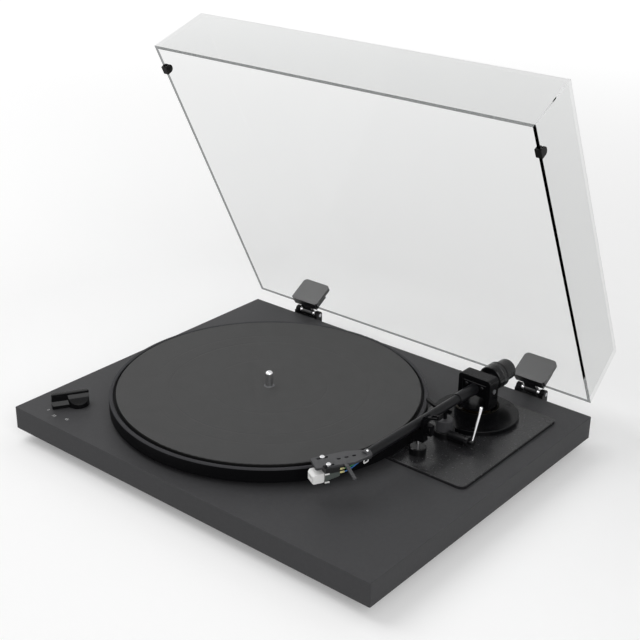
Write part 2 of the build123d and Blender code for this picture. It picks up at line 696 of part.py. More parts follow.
def make_tube():
    """Arm tube, the thicker collar on it and the stub behind the block."""
    arm = rod((-BLOCK_U, 0, 0), (TUBE_END, 0, 0), TUBE_R) - rod((-BLOCK_U, 0, 0), (TUBE_END, 0, 0), TUBE_BORE)
    collar = rod((BLOCK_U, 0, 0), (SLEEVE_END, 0, 0), SLEEVE_R)
    collar = fillet(collar.edges().sort_by(Axis.X)[-1], 0.5)
    collar -= rod((BLOCK_U, 0, 0), (SLEEVE_END, 0, 0), TUBE_R)
    stub = rod((-BLOCK_U, 0, 0), (-STUB_END, 0, 0), STUB_R)
    return ARM * arm, ARM * collar, ARM * stub


def make_counterweight():
    """Stepped steel weight with a hub in front, and the dial that turns on that hub."""
    bore = STUB_R + RUNNING
    back = WEIGHT_FRONT + WEIGHT_L
    body = rod((-WEIGHT_FRONT, 0, 0), (-back, 0, 0), WEIGHT_R)
    body = chamfer(body.edges(), 0.5)
    groove_at = WEIGHT_FRONT + WEIGHT_L * 0.62
    groove = rod((-groove_at, 0, 0), (-groove_at - 1, 0, 0), WEIGHT_R + 1)
    body -= groove - rod((-groove_at, 0, 0), (-groove_at - 1, 0, 0), WEIGHT_R - WEIGHT_GROOVE)
    tail = rod((-back, 0, 0), (-back - TAIL_L, 0, 0), TAIL_R)
    tail = fillet(tail.edges().sort_by(Axis.X)[0], 1.2)
    hub = rod((-DIAL_FRONT - 0.5, 0, 0), (-WEIGHT_FRONT, 0, 0), HUB_R)
    weight = body + tail + hub - rod((-DIAL_FRONT, 0, 0), (-back - TAIL_L, 0, 0), bore)
    dial = rod((-DIAL_FRONT, 0, 0), (-DIAL_FRONT - DIAL_T, 0, 0), DIAL_R)
    dial = chamfer(dial.edges().sort_by(Axis.X)[-1], 0.8)
    dial -= rod((-DIAL_FRONT, 0, 0), (-DIAL_FRONT - DIAL_T, 0, 0), HUB_R + RUNNING)
    return ARM * weight, ARM * dial


def make_headshell():
    """Flat plate with two slots, three oval holes, a socket for the tube and a finger lift."""
    outline = [(HEAD_FRONT, -HEAD_HALF), (HEAD_CORNER_A, HEAD_CORNER_B), (HEAD_NECK_FROM, HEAD_HALF),
               (HEAD_REAR, HEAD_NECK_HALF), (HEAD_REAR, -HEAD_NECK_HALF), (HEAD_NECK_FROM, -HEAD_HALF)]
    low = HEAD_TOP - HEAD_T
    face = make_face(Polyline([(a, b, 0) for a, b in outline], close=True))
    plate = extrude(face, HEAD_T)
    plate = fillet(plate.edges().filter_by(Axis.Z), 1.6)
    plate = chamfer(plate.faces().sort_by(Axis.Z)[-1].edges(), 0.3)
    for side in (-1, 1):
        plate -= Pos(0, side * CART_SCREW_GAP / 2, 0) * extrude(SlotOverall(SLOT_L, SLOT_W), HEAD_T)
    for number in range(3):
        at = HOLE_FIRST + HOLE_STEP * number
        plate -= Pos(at, 0, 0) * extrude(SlotOverall(HOLE_L, HOLE_W), HEAD_T)
    plate += make_finger()
    socket_end = TUBE_END + 5
    socket = rod((TUBE_END, 0, 0), (socket_end, 0, 0), TUBE_R + 0.4)
    socket = fillet(socket.edges().sort_by(Axis.X)[-1], 1.5)
    return ARM * socket + HEAD * Pos(0, 0, low) * plate


def make_finger():
    """Finger lift: a narrow tongue out of the near side, bent down at its root."""
    edge = HEAD_HALF - 1
    bend = HEAD_HALF + 3
    tip = HEAD_HALF + FINGER_L
    side_view = [(edge, HEAD_T), (bend, HEAD_T), (tip, HEAD_T - FINGER_DROP),
                 (tip, HEAD_T - FINGER_DROP - FINGER_T), (bend - 0.5, HEAD_T - FINGER_T),
                 (edge, HEAD_T - FINGER_T)]
    x0 = FINGER_A - FINGER_W / 2
    face = make_face(Polyline([(x0, b, z) for b, z in side_view], close=True))
    tongue = extrude(face, FINGER_W, dir=(1, 0, 0))
    return fillet(tongue.edges().filter_by(Axis.Z), 1)


def make_cartridge():
    """Cartridge body, stylus holder in front of it, stylus, screws with nuts, and lead wires."""
    under = HEAD_TOP - HEAD_T
    low = under - CART_H
    body_side = [(CART_SPLIT, under), (CART_BACK, under), (CART_BACK, low + CART_RISE), (CART_SPLIT, low)]
    face = make_face(Polyline([(a, -CART_HALF, z) for a, z in body_side], close=True))
    body = extrude(face, 2 * CART_HALF, dir=(0, 1, 0))
    body = chamfer(body.faces().sort_by(Axis.Z)[0].edges(), 0.8)
    nose_low = under - NOSE_H
    side_view = [(CART_SPLIT, under - NOSE_DOWN), (CART_FRONT - NOSE_SLOPE, under - NOSE_DOWN),
                 (CART_FRONT, under - NOSE_DOWN - NOSE_SLOPE), (CART_FRONT, nose_low),
                 (CART_SPLIT + 1, nose_low), (CART_SPLIT, nose_low + 1)]
    face = make_face(Polyline([(a, -NOSE_HALF, z) for a, z in side_view], close=True))
    nose = extrude(face, 2 * NOSE_HALF, dir=(0, 1, 0))
    nose = chamfer(nose.edges().filter_by(Axis.Z).sort_by(Axis.X)[-2:], 1)
    nose -= block(CART_FRONT - NOSE_RECESS, CART_FRONT + 1, -NOSE_HALF / 2, NOSE_HALF / 2,
                  nose_low + 1.2, under - 8)
    tip_a = CART_FRONT - 4
    top = nose_low + 0.6
    nose -= rod((tip_a, 0, nose_low - 1), (tip_a, 0, top), STYLUS_R)
    stylus = rod((tip_a, 0, nose_low - STYLUS_L), (tip_a, 0, top), 0.1, STYLUS_R)
    screws = []
    for side in (-1, 1):
        b = side * CART_SCREW_GAP / 2
        body -= rod((0, b, under - 8), (0, b, under), CART_SCREW_R)
        screws.append(HEAD * screw((0, b, HEAD_TOP), (0, b, under - 8), CART_SCREW_R, CART_HEAD_R,
                                   CART_HEAD_H))
    leads = [HEAD * make_lead(spot, under) for spot in (-4.5, -1.5, 1.5, 4.5)]
    return HEAD * body, HEAD * nose, HEAD * stylus, screws, leads


def make_lead(b, under):
    """One lead: straight out of the cartridge's back, then a bend up to the plate's underside."""
    low = under - CART_H * 0.55
    end = CART_BACK - LEAD_L
    path = FilletPolyline((CART_BACK, b, low), (end, b, low), (end, b, under), radius=LEAD_BEND)
    return sweep(Plane(origin=path @ 0, z_dir=path % 0) * Circle(LEAD_R), path)


def make_rest():
    """Arm rest: collar, bright rod and the cradle, open on its inner side, with a lug on its outer side."""
    collar_top = ARM_BOARD_T + REST_COLLAR_H
    collar = tube(REST_X, REST_Y, ARM_BOARD_T, collar_top, REST_COLLAR_R, REST_ROD_R)
    collar = chamfer(collar.edges().group_by(Axis.Z)[-1].sort_by(SortBy.RADIUS)[-1], 0.8)
    rod_top = CLIP_LOW + 4
    bar = drum(REST_X, REST_Y, ARM_BOARD_T, rod_top, REST_ROD_R)
    y0, y1 = REST_Y - CLIP_DEPTH / 2, REST_Y + CLIP_DEPTH / 2
    room = TUBE_R + CLIP_GAP
    saddle = block(REST_X - CLIP_IN, REST_X + CLIP_OUT, y0, y1, CLIP_LOW, TUBE_Z - room)
    saddle = fillet(saddle.edges().filter_by(Axis.Y).sort_by(Axis.X)[:2], 2)
    saddle -= drum(REST_X, REST_Y, CLIP_LOW, rod_top, REST_ROD_R)
    side = block(REST_TUBE_X + room, REST_X + CLIP_OUT, y0, y1, TUBE_Z - room, TUBE_Z + CLIP_UP)
    for e0, e1 in ((y0, y0 + LATCH_EAR), (y1 - LATCH_EAR, y1)):
        ear = rod((REST_X + LATCH_X, e0, TUBE_Z + LATCH_Z), (REST_X + LATCH_X, e1, TUBE_Z + LATCH_Z),
                  LATCH_BARREL_R)
        side += ear + block(REST_X + LATCH_X - LATCH_GUSSET, REST_X + LATCH_X, e0, e1,
                            TUBE_Z + CLIP_UP - 1, TUBE_Z + LATCH_Z)
    x0, x1, z0, z1 = REST_X + CLIP_OUT, REST_X + CLIP_OUT + LUG_REACH, TUBE_Z - LUG_LOW, TUBE_Z + LUG_HIGH
    side += block(x0, x1, y0 + 1, y1 - 1, z0, z1)
    side -= block(x0 + LUG_WALL, x1 - LUG_WALL, y0, y1, z0 + LUG_WALL, z1 - LUG_WALL)
    middle = (y0 + LATCH_EAR, y1 - LATCH_EAR)
    side -= block(REST_X, REST_X + LATCH_X + 3, *middle, TUBE_Z + LATCH_Z - 2.8, TUBE_Z + LATCH_Z + 3)
    pin_line = ((REST_X + LATCH_X, y0, TUBE_Z + LATCH_Z), (REST_X + LATCH_X, y1, TUBE_Z + LATCH_Z))
    side -= rod(*pin_line, LATCH_PIN_R)
    return collar, bar, [saddle, side, rod(*pin_line, LATCH_PIN_R)]


def make_latch():
    """Latch frame on the cradle's pin, drawn open to the outside, with a window and a hook."""
    half = CLIP_DEPTH / 2 - LATCH_EAR - GAP
    barrel = rod((0, -half, 0), (0, half, 0), LATCH_BARREL_R)
    strap = block(0, LATCH_REACH, -half, half, -LATCH_T / 2, LATCH_T / 2)
    wide = block(3, LATCH_REACH, -CLIP_DEPTH / 2, CLIP_DEPTH / 2, -LATCH_T / 2, LATCH_T / 2)
    hook = block(LATCH_REACH - LATCH_T, LATCH_REACH, -CLIP_DEPTH / 2, CLIP_DEPTH / 2,
                 0, LATCH_T / 2 + LATCH_HOOK)
    window = block(5, LATCH_REACH - 3, -CLIP_DEPTH / 2 + 1.6, CLIP_DEPTH / 2 - 1.6, -LATCH_T, LATCH_T)
    latch = barrel + strap + wide + hook - window
    latch -= rod((0, -half, 0), (0, half, 0), LATCH_PIN_R + RUNNING)
    return Pos(REST_X + LATCH_X, REST_Y, TUBE_Z + LATCH_Z) * Rot(0, LATCH_HANG, 0) * latch


def make_lift():
    """Lift: flange with its stout column, and the side housing of the lever's axle."""
    base_top = ARM_BOARD_T + LIFT_FLANGE_T
    column = drum(LIFT_X, LIFT_Y, ARM_BOARD_T, base_top, LIFT_FLANGE_R)
    column = fillet(column.edges().sort_by(Axis.Z)[-1], 0.6)
    stout = drum(LIFT_X, LIFT_Y, base_top, LIFT_COLUMN_TOP, LIFT_COLUMN_R)
    column += chamfer(stout.edges().sort_by(Axis.Z)[-1], 0.8)
    column -= drum(LIFT_X, LIFT_Y, ARM_BOARD_T, LIFT_COLUMN_TOP, LIFT_ROD_R + RUNNING)
    column -= block(HOUSING_X0 - 1, HOUSING_X0 + 5, LIFT_Y - LIFT_FLANGE_R, LIFT_Y + LIFT_FLANGE_R,
                    ARM_BOARD_T, base_top)
    housing = rod((HOUSING_X0 - 1, HOUSING_Y, HOUSING_Z), (HOUSING_X1, HOUSING_Y, HOUSING_Z), HOUSING_R)
    foot = block(HOUSING_X0 - 1, HOUSING_X1 - 2, HOUSING_Y - 2.5, HOUSING_Y + 2.5,
                 ARM_BOARD_T, HOUSING_Z)
    housing += foot
    housing -= rod((HOUSING_X0 + 2, HOUSING_Y, HOUSING_Z), (HOUSING_X1, HOUSING_Y, HOUSING_Z),
                   AXLE_R + RUNNING)
    return column, housing


def make_lift_rail():
    """Rod of the lift with the curved rail that runs under the tube, about the arm's pivot."""
    radius = hypot(LIFT_X - PIVOT_X, LIFT_Y - PIVOT_Y)
    ring = Cylinder(radius + RAIL_W / 2, RAIL_T, align=UP) - Cylinder(radius - RAIL_W / 2, RAIL_T, align=UP)
    reach = radius * 2
    start, end = radians(-90 - RAIL_IN), radians(-90 + RAIL_BACK)
    wedge = make_face(Polyline([(0, 0, 0), (reach * cos(start), reach * sin(start), 0),
                                (reach * cos(end), reach * sin(end), 0)], close=True))
    rail = Pos(PIVOT_X, PIVOT_Y, RAIL_TOP - RAIL_T) * (ring & extrude(wedge, RAIL_T))
    low = ARM_BOARD_T + GAP + LIFT_TRAVEL
    return rail + drum(LIFT_X, LIFT_Y, low, RAIL_TOP - RAIL_T, LIFT_ROD_R)


def make_lift_lever():
    """Axle with its dark disc and thicker end, and the bright tapered lever that leans back."""
    axle = rod((HOUSING_X0 + 2.2, HOUSING_Y, HOUSING_Z), (AXLE_X1, HOUSING_Y, HOUSING_Z), AXLE_R)
    cam_x1 = HOUSING_X1 + GAP + CAM_T
    cam = rod((HOUSING_X1 + GAP, HOUSING_Y, HOUSING_Z), (cam_x1, HOUSING_Y, HOUSING_Z), CAM_R)
    end = rod((cam_x1, HOUSING_Y, HOUSING_Z), (AXLE_X1, HOUSING_Y, HOUSING_Z), AXLE_END_R)
    lean = radians(LEVER_LEAN)
    tip = (LEVER_X, HOUSING_Y + LEVER_L * sin(lean), HOUSING_Z + LEVER_L * cos(lean))
    bar = rod((LEVER_X, HOUSING_Y, HOUSING_Z), tip, LEVER_R0, LEVER_R1)
    bar += Pos(*tip) * Sphere(LEVER_R1)
    return axle + chamfer(cam.edges(), 0.5) + end, bar - end


def shut_lid_shells():
    """Outer block and inner hollow of the shut lid, both tapered."""
    outer = Pos(0, 0, LID_RIM) * extrude(Rectangle(LID_W, LID_D), LID_H, taper=LID_TAPER)
    outer = fillet(outer.edges().filter_by(Axis.Z, reverse=True).sort_by(Axis.Z)[-4:], LID_ROUND)
    inner = Pos(0, 0, LID_RIM) * extrude(Rectangle(LID_W - 2 * LID_WALL, LID_D - 2 * LID_WALL),
                                         LID_H - LID_WALL, taper=LID_TAPER)
    return outer, inner


WALL = Pos(0, LID_D / 2, LID_RIM) * Rot(LID_TAPER, 0, 0)


def clamp_screw_spots(side):
    """Places of one hinge's two clamp screws in the wall's own frame: X and height."""
    return [(side * HINGE_X + shift, CLAMP_SCREW_UP) for shift in (-CLAMP_SCREW_AT, CLAMP_SCREW_AT)]


def make_lid(outer, inner):
    """Clear lid with the holes of the clamp screws."""
    lid = outer - inner
    for side in (-1, 1):
        for x, up in clamp_screw_spots(side):
            lid -= WALL * rod((x, -LID_WALL - 2, up), (x, 2, up), CLAMP_SCREW_R)
    return lid


def make_clamps():
    """Hinge clamps on the lid's back wall: inner plate, web, outer leaf, arm and knuckle."""
    clamps = []
    screws = []
    for side in (-1, 1):
        x = side * HINGE_X
        inside = -LID_WALL - PLATE_T
        plate = block(x - CLAMP_W / 2, x + CLAMP_W / 2, inside, -LID_WALL, GAP, CLAMP_H)
        plate = fillet(plate.edges().filter_by(Axis.Y).sort_by(Axis.Z)[-2:], CLAMP_ROUND)
        leaf = block(x - LEAF_W / 2, x + LEAF_W / 2, 0, CLAMP_T, GAP, LEAF_H)
        leaf = fillet(leaf.edges().filter_by(Axis.Y).sort_by(Axis.Z)[-2:], 2)
        web = block(x - LEAF_W / 2, x + LEAF_W / 2, inside, CLAMP_T, -WEB_T, 0)
        sides = block(x - LEAF_W / 2, x + LEAF_W / 2, inside, -LID_WALL, -WEB_T, GAP)
        sides += block(x - LEAF_W / 2, x + LEAF_W / 2, 0, CLAMP_T, -WEB_T, GAP)
        clamp = WALL * (plate + leaf + web + sides)
        knuckle = rod((x - KNUCKLE_W / 2, HINGE_Y, HINGE_Z), (x + KNUCKLE_W / 2, HINGE_Y, HINGE_Z), KNUCKLE_R)
        arm = block(x - KNUCKLE_W / 2, x + KNUCKLE_W / 2, LID_D / 2 + 0.5, HINGE_Y,
                    HINGE_Z - 1.2, HINGE_Z + 2.2)
        clamp += knuckle + arm
        clamp -= rod((x - KNUCKLE_W, HINGE_Y, HINGE_Z), (x + KNUCKLE_W, HINGE_Y, HINGE_Z), PIN_R + RUNNING)
        for sx, up in clamp_screw_spots(side):
            blind = inside + PLATE_T / 4
            clamp -= WALL * rod((sx, blind, up), (sx, CLAMP_T, up), CLAMP_SCREW_R)
            screws.append(WALL * screw((sx, CLAMP_T, up), (sx, blind, up), CLAMP_SCREW_R, 3.2, 1.8))
        clamps.append(clamp)
    return clamps, screws


def make_brackets():
    """Fixed hinge brackets on the plinth's back, each with two ears on a solid foot, and their pins."""
    brackets = []
    pins = []
    back = PLINTH_BACK
    for side in (-1, 1):
        x = side * HINGE_X
        bracket = block(x - LEAF_W / 2, x + LEAF_W / 2, back, back + BRACKET_T, BRACKET_LOW, BRACKET_HIGH)
        bracket += block(x - LEAF_W / 2, x + LEAF_W / 2, back + BRACKET_T, HINGE_Y + EAR_R,
                         BRACKET_LOW + 10, HINGE_Z - KNUCKLE_R - GAP)
        for turn in (-1, 1):
            x0 = x + turn * LEAF_W / 2
            x1 = x + turn * (LEAF_W / 2 - EAR_W)
            lo, hi = min(x0, x1), max(x0, x1)
            ear = rod((lo, HINGE_Y, HINGE_Z), (hi, HINGE_Y, HINGE_Z), EAR_R)
            ear += block(lo, hi, back + BRACKET_T, HINGE_Y + EAR_R, BRACKET_LOW + 8, HINGE_Z)
            ear += block(lo, hi, back, back + BRACKET_T, BRACKET_LOW, BRACKET_HIGH)
            bracket += ear
        ends = ((x - LEAF_W / 2 - 0.8, HINGE_Y, HINGE_Z), (x + LEAF_W / 2 + 0.8, HINGE_Y, HINGE_Z))
        pins.append(rod(*ends, PIN_R))
        bracket -= rod(*ends, PIN_R)
        brackets.append(bracket)
    for tip, head in rear_screw_lines()[:4]:
        brackets = [piece - rod(tip, (head[0], head[1] + 1, head[2]), SCREW_R) for piece in brackets]
    return brackets, pins


def make_bumpers(outer, inner):
    """Rubber clips over the side rims, round at their upper end."""
    bumpers = []
    for side in (-1, 1):
        out = LID_W / 2 + BUMPER_T
        inn = LID_W / 2 - LID_WALL - BUMPER_T
        lo, hi = min(side * out, side * inn), max(side * out, side * inn)
        clip = block(lo, hi, BUMPER_Y - BUMPER_L / 2, BUMPER_Y + BUMPER_L / 2, GAP, GAP + BUMPER_H)
        clip = fillet(clip.edges().filter_by(Axis.X).sort_by(Axis.Z)[-2:], BUMPER_ROUND)
        bumpers.append(clip - (outer - inner))
    return bumpers


def make_terminals():
    """Rear plate with two phono sockets, a ground post and a round power inlet."""
    back = PLINTH_BACK
    face = back + TERMINAL_T
    spots = [TERMINAL_X + PHONO_STEP * (n - 1.5) for n in range(4)]
    plate = block(TERMINAL_X - TERMINAL_W / 2, TERMINAL_X + TERMINAL_W / 2, back, face,
                  TERMINAL_Z - TERMINAL_H / 2, TERMINAL_Z + TERMINAL_H / 2)
    inner_r = (PHONO_R - 1, PHONO_R - 1, 2, INLET_BODY_R - 0.5)
    for x, hole in zip(spots, inner_r):
        plate -= rod((x, back, TERMINAL_Z), (x, face, TERMINAL_Z), hole)
    for tip, head in rear_screw_lines()[4:]:
        plate -= rod(tip, (head[0], head[1], head[2]), SCREW_R)
    sockets = []
    for x in spots[:2]:
        shell = rod((x, face, TERMINAL_Z), (x, face + 1.5, TERMINAL_Z), PHONO_FLANGE_R)
        shell += rod((x, back - 4, TERMINAL_Z), (x, face, TERMINAL_Z), PHONO_R - 1)
        shell += rod((x, face, TERMINAL_Z), (x, face + 1.5 + PHONO_L, TERMINAL_Z), PHONO_R)
        shell -= rod((x, face + 3, TERMINAL_Z), (x, face + 1.5 + PHONO_L, TERMINAL_Z), PHONO_R - 2.5)
        sockets.append(shell)
    x = spots[2]
    post = rod((x, back - 4, TERMINAL_Z), (x, face + 10, TERMINAL_Z), 2)
    nut = rod((x, face + 2, TERMINAL_Z), (x, face + 8, TERMINAL_Z), 4)
    ground = post + chamfer(nut.edges(), 0.6) + rod((x, face, TERMINAL_Z), (x, face + 1, TERMINAL_Z), 4)
    x = spots[3]
    inlet = rod((x, face, TERMINAL_Z), (x, face + 1, TERMINAL_Z), INLET_BODY_R + 0.8)
    inlet += rod((x, face - INLET_L - 1.5, TERMINAL_Z), (x, face, TERMINAL_Z), INLET_BODY_R - 0.5)
    inlet -= rod((x, face + 1 - INLET_L, TERMINAL_Z), (x, face + 1, TERMINAL_Z), INLET_R)
    inlet += rod((x, face - INLET_L - 1, TERMINAL_Z), (x, face, TERMINAL_Z), 0.9)
    return plate, sockets, ground, inlet


def make_rear_screws():
    """Screws of the hinge brackets and of the terminal plate."""
    return [screw(head, tip, SCREW_R, SCREW_HEAD_R - 0.4, SCREW_HEAD_H) for tip, head in rear_screw_lines()]


def opened(solid):
    """Turn a solid from the shut lid's place to the open one."""
    return solid.rotate(LID_AXIS, -LID_OPEN)


def build():
    os.makedirs("parts", exist_ok=True)
    save("plinth", make_plinth())
    save("feet", *make_feet())
    save("underside_screws", *make_underside_screws())
    save("underside_covers", *make_covers())

    housing, bush, ball = make_bearing()
    save("bearing_housing", housing)
    save("bearing_bush", bush)
    save("bearing_ball", ball)
    save("spindle", make_spindle())
    save("sub_platter", make_sub_platter())
    save("platter", make_platter())
    save("platter_mat", make_mat())
    save("drive_belt", make_belt())

    can, plate, shaft, pulley = make_motor()
    save("motor", can)
    save("motor_plate", plate)
    save("motor_shaft", shaft)
    save("motor_pulley", pulley)
    save("top_screws", *make_top_screws())

    switch, board, stem, knob = make_selector()
    save("selector_switch", switch)
    save("circuit_board", *board)
    save("selector_stem", stem)
    save("selector_knob", knob)

    save("arm_board", make_arm_board())
    disc, pillar, ring, cup = make_arm_base()
    save("arm_base", disc)
    save("arm_pillar", pillar)
    save("pillar_ring", ring)
    save("bearing_cup", cup)
    save("pivot_column", make_pivot_column())
    save("arm_yoke", make_yoke())
    save("pivot_screws", *make_pivot_screws())
    body, screws = make_arm_block()
    save("arm_block", body)
    save("block_screws", *screws)
    arm, collar, stub = make_tube()
    save("arm_tube", arm)
    save("arm_collar", collar)
    save("counterweight_stub", stub)
    weight, dial = make_counterweight()
    save("counterweight", weight)
    save("force_dial", dial)
    save("headshell", make_headshell())
    body, nose, stylus, screws, leads = make_cartridge()
    save("cartridge", body)
    save("stylus_holder", nose)
    save("stylus", stylus)
    save("cartridge_screws", *screws)
    save("cartridge_leads", *leads)

    collar, bar, cradle = make_rest()
    save("rest_collar", collar)
    save("rest_rod", bar)
    save("rest_cradle", *cradle)
    save("rest_latch", make_latch())
    column, housing = make_lift()
    save("lift_column", column)
    save("lift_housing", housing)
    save("lift_rail", make_lift_rail())
    axle, lever = make_lift_lever()
    save("lift_axle", axle)
    save("lift_lever", lever)

    outer, inner = shut_lid_shells()
    save("lid", opened(make_lid(outer, inner)))
    save("lid_bumpers", *[opened(piece) for piece in make_bumpers(outer, inner)])
    clamps, screws = make_clamps()
    save("hinge_clamps", *[opened(piece) for piece in clamps])
    save("clamp_screws", *[opened(piece) for piece in screws])
    brackets, pins = make_brackets()
    save("hinge_brackets", *brackets)
    save("hinge_pins", *pins)

    plate, sockets, ground, inlet = make_terminals()
    save("terminal_plate", plate)
    save("phono_sockets", *sockets, ground, inlet)
    save("rear_screws", *make_rear_screws())


build()
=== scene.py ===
"""Belt-drive turntable with an open clear lid: finishes, small trim, and the studio it stands in."""
import json
import math

import bpy
import numpy as np
from bpy.props import FloatProperty, FloatVectorProperty, IntProperty, PointerProperty
from mathutils import Matrix, Vector


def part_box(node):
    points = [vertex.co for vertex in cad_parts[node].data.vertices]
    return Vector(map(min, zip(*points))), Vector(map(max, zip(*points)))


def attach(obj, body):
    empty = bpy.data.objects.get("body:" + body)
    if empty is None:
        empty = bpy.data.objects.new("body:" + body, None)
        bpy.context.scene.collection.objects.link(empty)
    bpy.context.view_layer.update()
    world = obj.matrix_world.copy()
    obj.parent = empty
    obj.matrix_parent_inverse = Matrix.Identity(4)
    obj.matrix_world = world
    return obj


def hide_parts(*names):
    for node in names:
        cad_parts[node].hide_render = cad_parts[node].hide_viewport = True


bl_info = {
    "name": "Turntable Pieces",
    "version": (1, 0, 0),
    "blender": (4, 5, 0),
    "location": "3D Viewport > Sidebar > Turntable",
    "description": "Finishes, printed numbers, wires and small trim of a belt-drive turntable",
    "category": "Add Mesh",
}

MM = 0.001
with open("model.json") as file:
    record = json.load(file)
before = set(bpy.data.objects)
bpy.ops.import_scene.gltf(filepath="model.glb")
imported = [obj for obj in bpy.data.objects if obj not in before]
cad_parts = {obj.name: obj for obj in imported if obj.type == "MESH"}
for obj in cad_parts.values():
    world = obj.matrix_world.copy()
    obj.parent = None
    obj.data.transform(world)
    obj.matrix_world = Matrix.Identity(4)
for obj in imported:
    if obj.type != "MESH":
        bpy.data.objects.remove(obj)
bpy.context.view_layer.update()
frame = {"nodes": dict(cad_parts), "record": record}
nodes = frame["nodes"]
slot_of = {entry["node"]: entry["material_slot"] for entry in frame["record"]["subparts"]}
joints = {joint["name"]: joint for joint in frame["record"]["behaviour"]["joints"]}

deck_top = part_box("plinth")[1].z
floor_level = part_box("feet")[0].z

# The arm's pivot and its turn at rest, and the headshell's place and turn on it
pivot = joints["arm_tilt"]["pos_m"]
rest_turn = math.radians(-90.9)
head_place = (199.5 * MM, -15.7 * MM)
head_turn = math.radians(-25.8)

# The lid's axis as y and z, how far it stands open, the rim's height over the axis when it is shut, and the
# middles of the two hinges along x
hinge_line = joints["lid_hinge"]["pos_m"][1:]
lid_open = math.radians(joints["lid_hinge"]["range_deg"][1])
rim_height = 0.1 * MM
hinge_middles = {"Left": -105.3 * MM, "Right": 176.7 * MM}

# The numbers, with the middle and the degrees of the arc that they stand on
numbers_at = (-131.8 * MM, -122.6 * MM)
number_turns = {"0": 30.3, "33": 2.7, "45": -27.4}

# The mat's fine rings in radians per metre of radius, and the radius and depth of its wide rings, whose sides
# rise by 1 in each 1 / ring_slope metres
fine_rings = 5200.0
mat_rings = ((55 * MM, 2.0), (94 * MM, 3.0), (110 * MM, 2.0))
ring_slope = 900.0

# Heights and widths of painted bands, the cartridge's as a share of its height
# Height of the lip's top band that is coloured grey as a painted sheen
lip_sheen_band = 1.1 * MM
flange_height = 6.25 * MM
cartridge_band = 0.6
# Width of the mat's outer band that is coloured near black as painted shade in the gap by the lip
mat_gap_shade_width = 0.3 * MM
# Width of the lid rim's band coloured dark as painted shade for refraction at the cut edge
cut_edge_shade_width = 0.3 * MM

# The cartridge's pins along x in the headshell's frame, then each lead's place across and up, colour and word
pins_from, pins_to = -9.3 * MM, -14.6 * MM
lead_start, lead_bend, lead_sag = -14.0 * MM, -20.0 * MM, 0.4 * MM
leads = ((5.5 * MM, -4.0 * MM, "wire_green", "Green"), (5.5 * MM, -7.2 * MM, "wire_blue", "Blue"),
         (-5.5 * MM, -4.0 * MM, "wire_white", "White"), (-5.5 * MM, -7.2 * MM, "wire_red", "Red"))

# Where the leads draw together and where they end: x, share of the place across, z
lead_gather = (-27.0 * MM, 0.4, -4.5 * MM)
lead_end = (-35.5 * MM, 0.2, -1.2 * MM)

# The prongs' corners and heights in the headshell's frame
prong_low, prong_high = (0.0, 7.9 * MM), (4.0 * MM, 9.0 * MM)
prong_bottoms, prong_height = (-4.9 * MM, -12.6 * MM), 1.0 * MM

# The wire loop's centre in the arm's frame, and the share of its radius at which its lower side is cut flat
loop_centre = (170.0 * MM, 3.4 * MM, -2.2 * MM)
loop_flat = -0.55

# The collet screw's place, and its outline as heights and radii
collet_place = (163.74 * MM, -62.16 * MM, 19.6 * MM)
collet_heights = np.array([-1.6, 0.0, 0.3, 0.6, 0.75, 0.8]) * MM
collet_radii = np.array([1.2, 1.2, 1.05, 0.7, 0.35, 0.1]) * MM

# Springs: distance of their near end from the hinge's middle, length along the pin, and turns
spring_start, spring_length, spring_turns = 7.3 * MM, 2.7 * MM, 4

# Rear sockets: where each collar sits, and its outline as radii and heights
socket_x = {"White": 92.7 * MM, "Red": 106.7 * MM}
socket_y, socket_z = 179.7 * MM, -29.3 * MM
collar_outline = np.array([(4.2, 1.9), (4.9, 1.9), (5.6, 1.2), (5.6, 0.0), (4.2, 0.0)]) * MM

# The lamps' places with their widths, and the camera's place, angles in radians and lens shift
key_place, key_width = (-0.75, -0.25, 1.25), 1.3
fill_place, fill_width = (1.3, -0.9, 0.9), 1.2
camera_place = (0.69329, -0.77834, 0.54102)
camera_azimuth, camera_elevation, camera_roll = 0.69249, 0.4245, 0.01171
camera_shift = (0.01739, -0.00322)

# What every bright plated finish shares
plated = {"metal": 1.0, "mottle": 0.05}


# Shapes

def arm_frame():
    """Matrix of the parked arm: x forward along the tube, y to its right, z up."""
    return Matrix.Translation(pivot) @ Matrix.Rotation(rest_turn, 4, "Z")


def head_frame():
    """Matrix of the headshell: x forward along it, y to its near side, z up from the tube's centre."""
    return arm_frame() @ Matrix.Translation((*head_place, 0)) @ Matrix.Rotation(head_turn, 4, "Z")


def placed(points, matrix):
    """Rows of points moved by a 4x4 matrix: the turn's rows times each point, plus the shift."""
    turn = np.array(matrix.to_3x3())
    return points @ turn.T + np.array(matrix.translation)


def skin(name, points, faces, smooth=True):
    """A mesh object at the origin from rows of points and faces, outward side kept as given."""
    mesh = bpy.data.meshes.new(name)
    mesh.from_pydata(points.tolist(), [], [list(face) for face in faces])
    mesh.polygons.foreach_set("use_smooth", np.full(len(mesh.polygons), smooth))
    mesh.update()
    piece = bpy.data.objects.new(name, mesh)
    bpy.context.scene.collection.objects.link(piece)
    return piece


def woven(rows, columns, closed_rows=False):
    """Quads over a grid of rows of points, each row a closed ring; open ends get one flat face each."""
    r = np.arange(rows if closed_rows else rows - 1)[:, None]
    c = np.arange(columns)[None, :]
    here, over = r * columns, ((r + 1) % rows) * columns
    quads = np.stack([here + c, here + (c + 1) % columns, over + (c + 1) % columns, over + c], -1)
    faces = [tuple(q) for q in quads.reshape(-1, 4).tolist()]
    if not closed_rows:
        faces.append(tuple(range(columns))[::-1])
        faces.append(tuple(range((rows - 1) * columns, rows * columns)))
    return faces


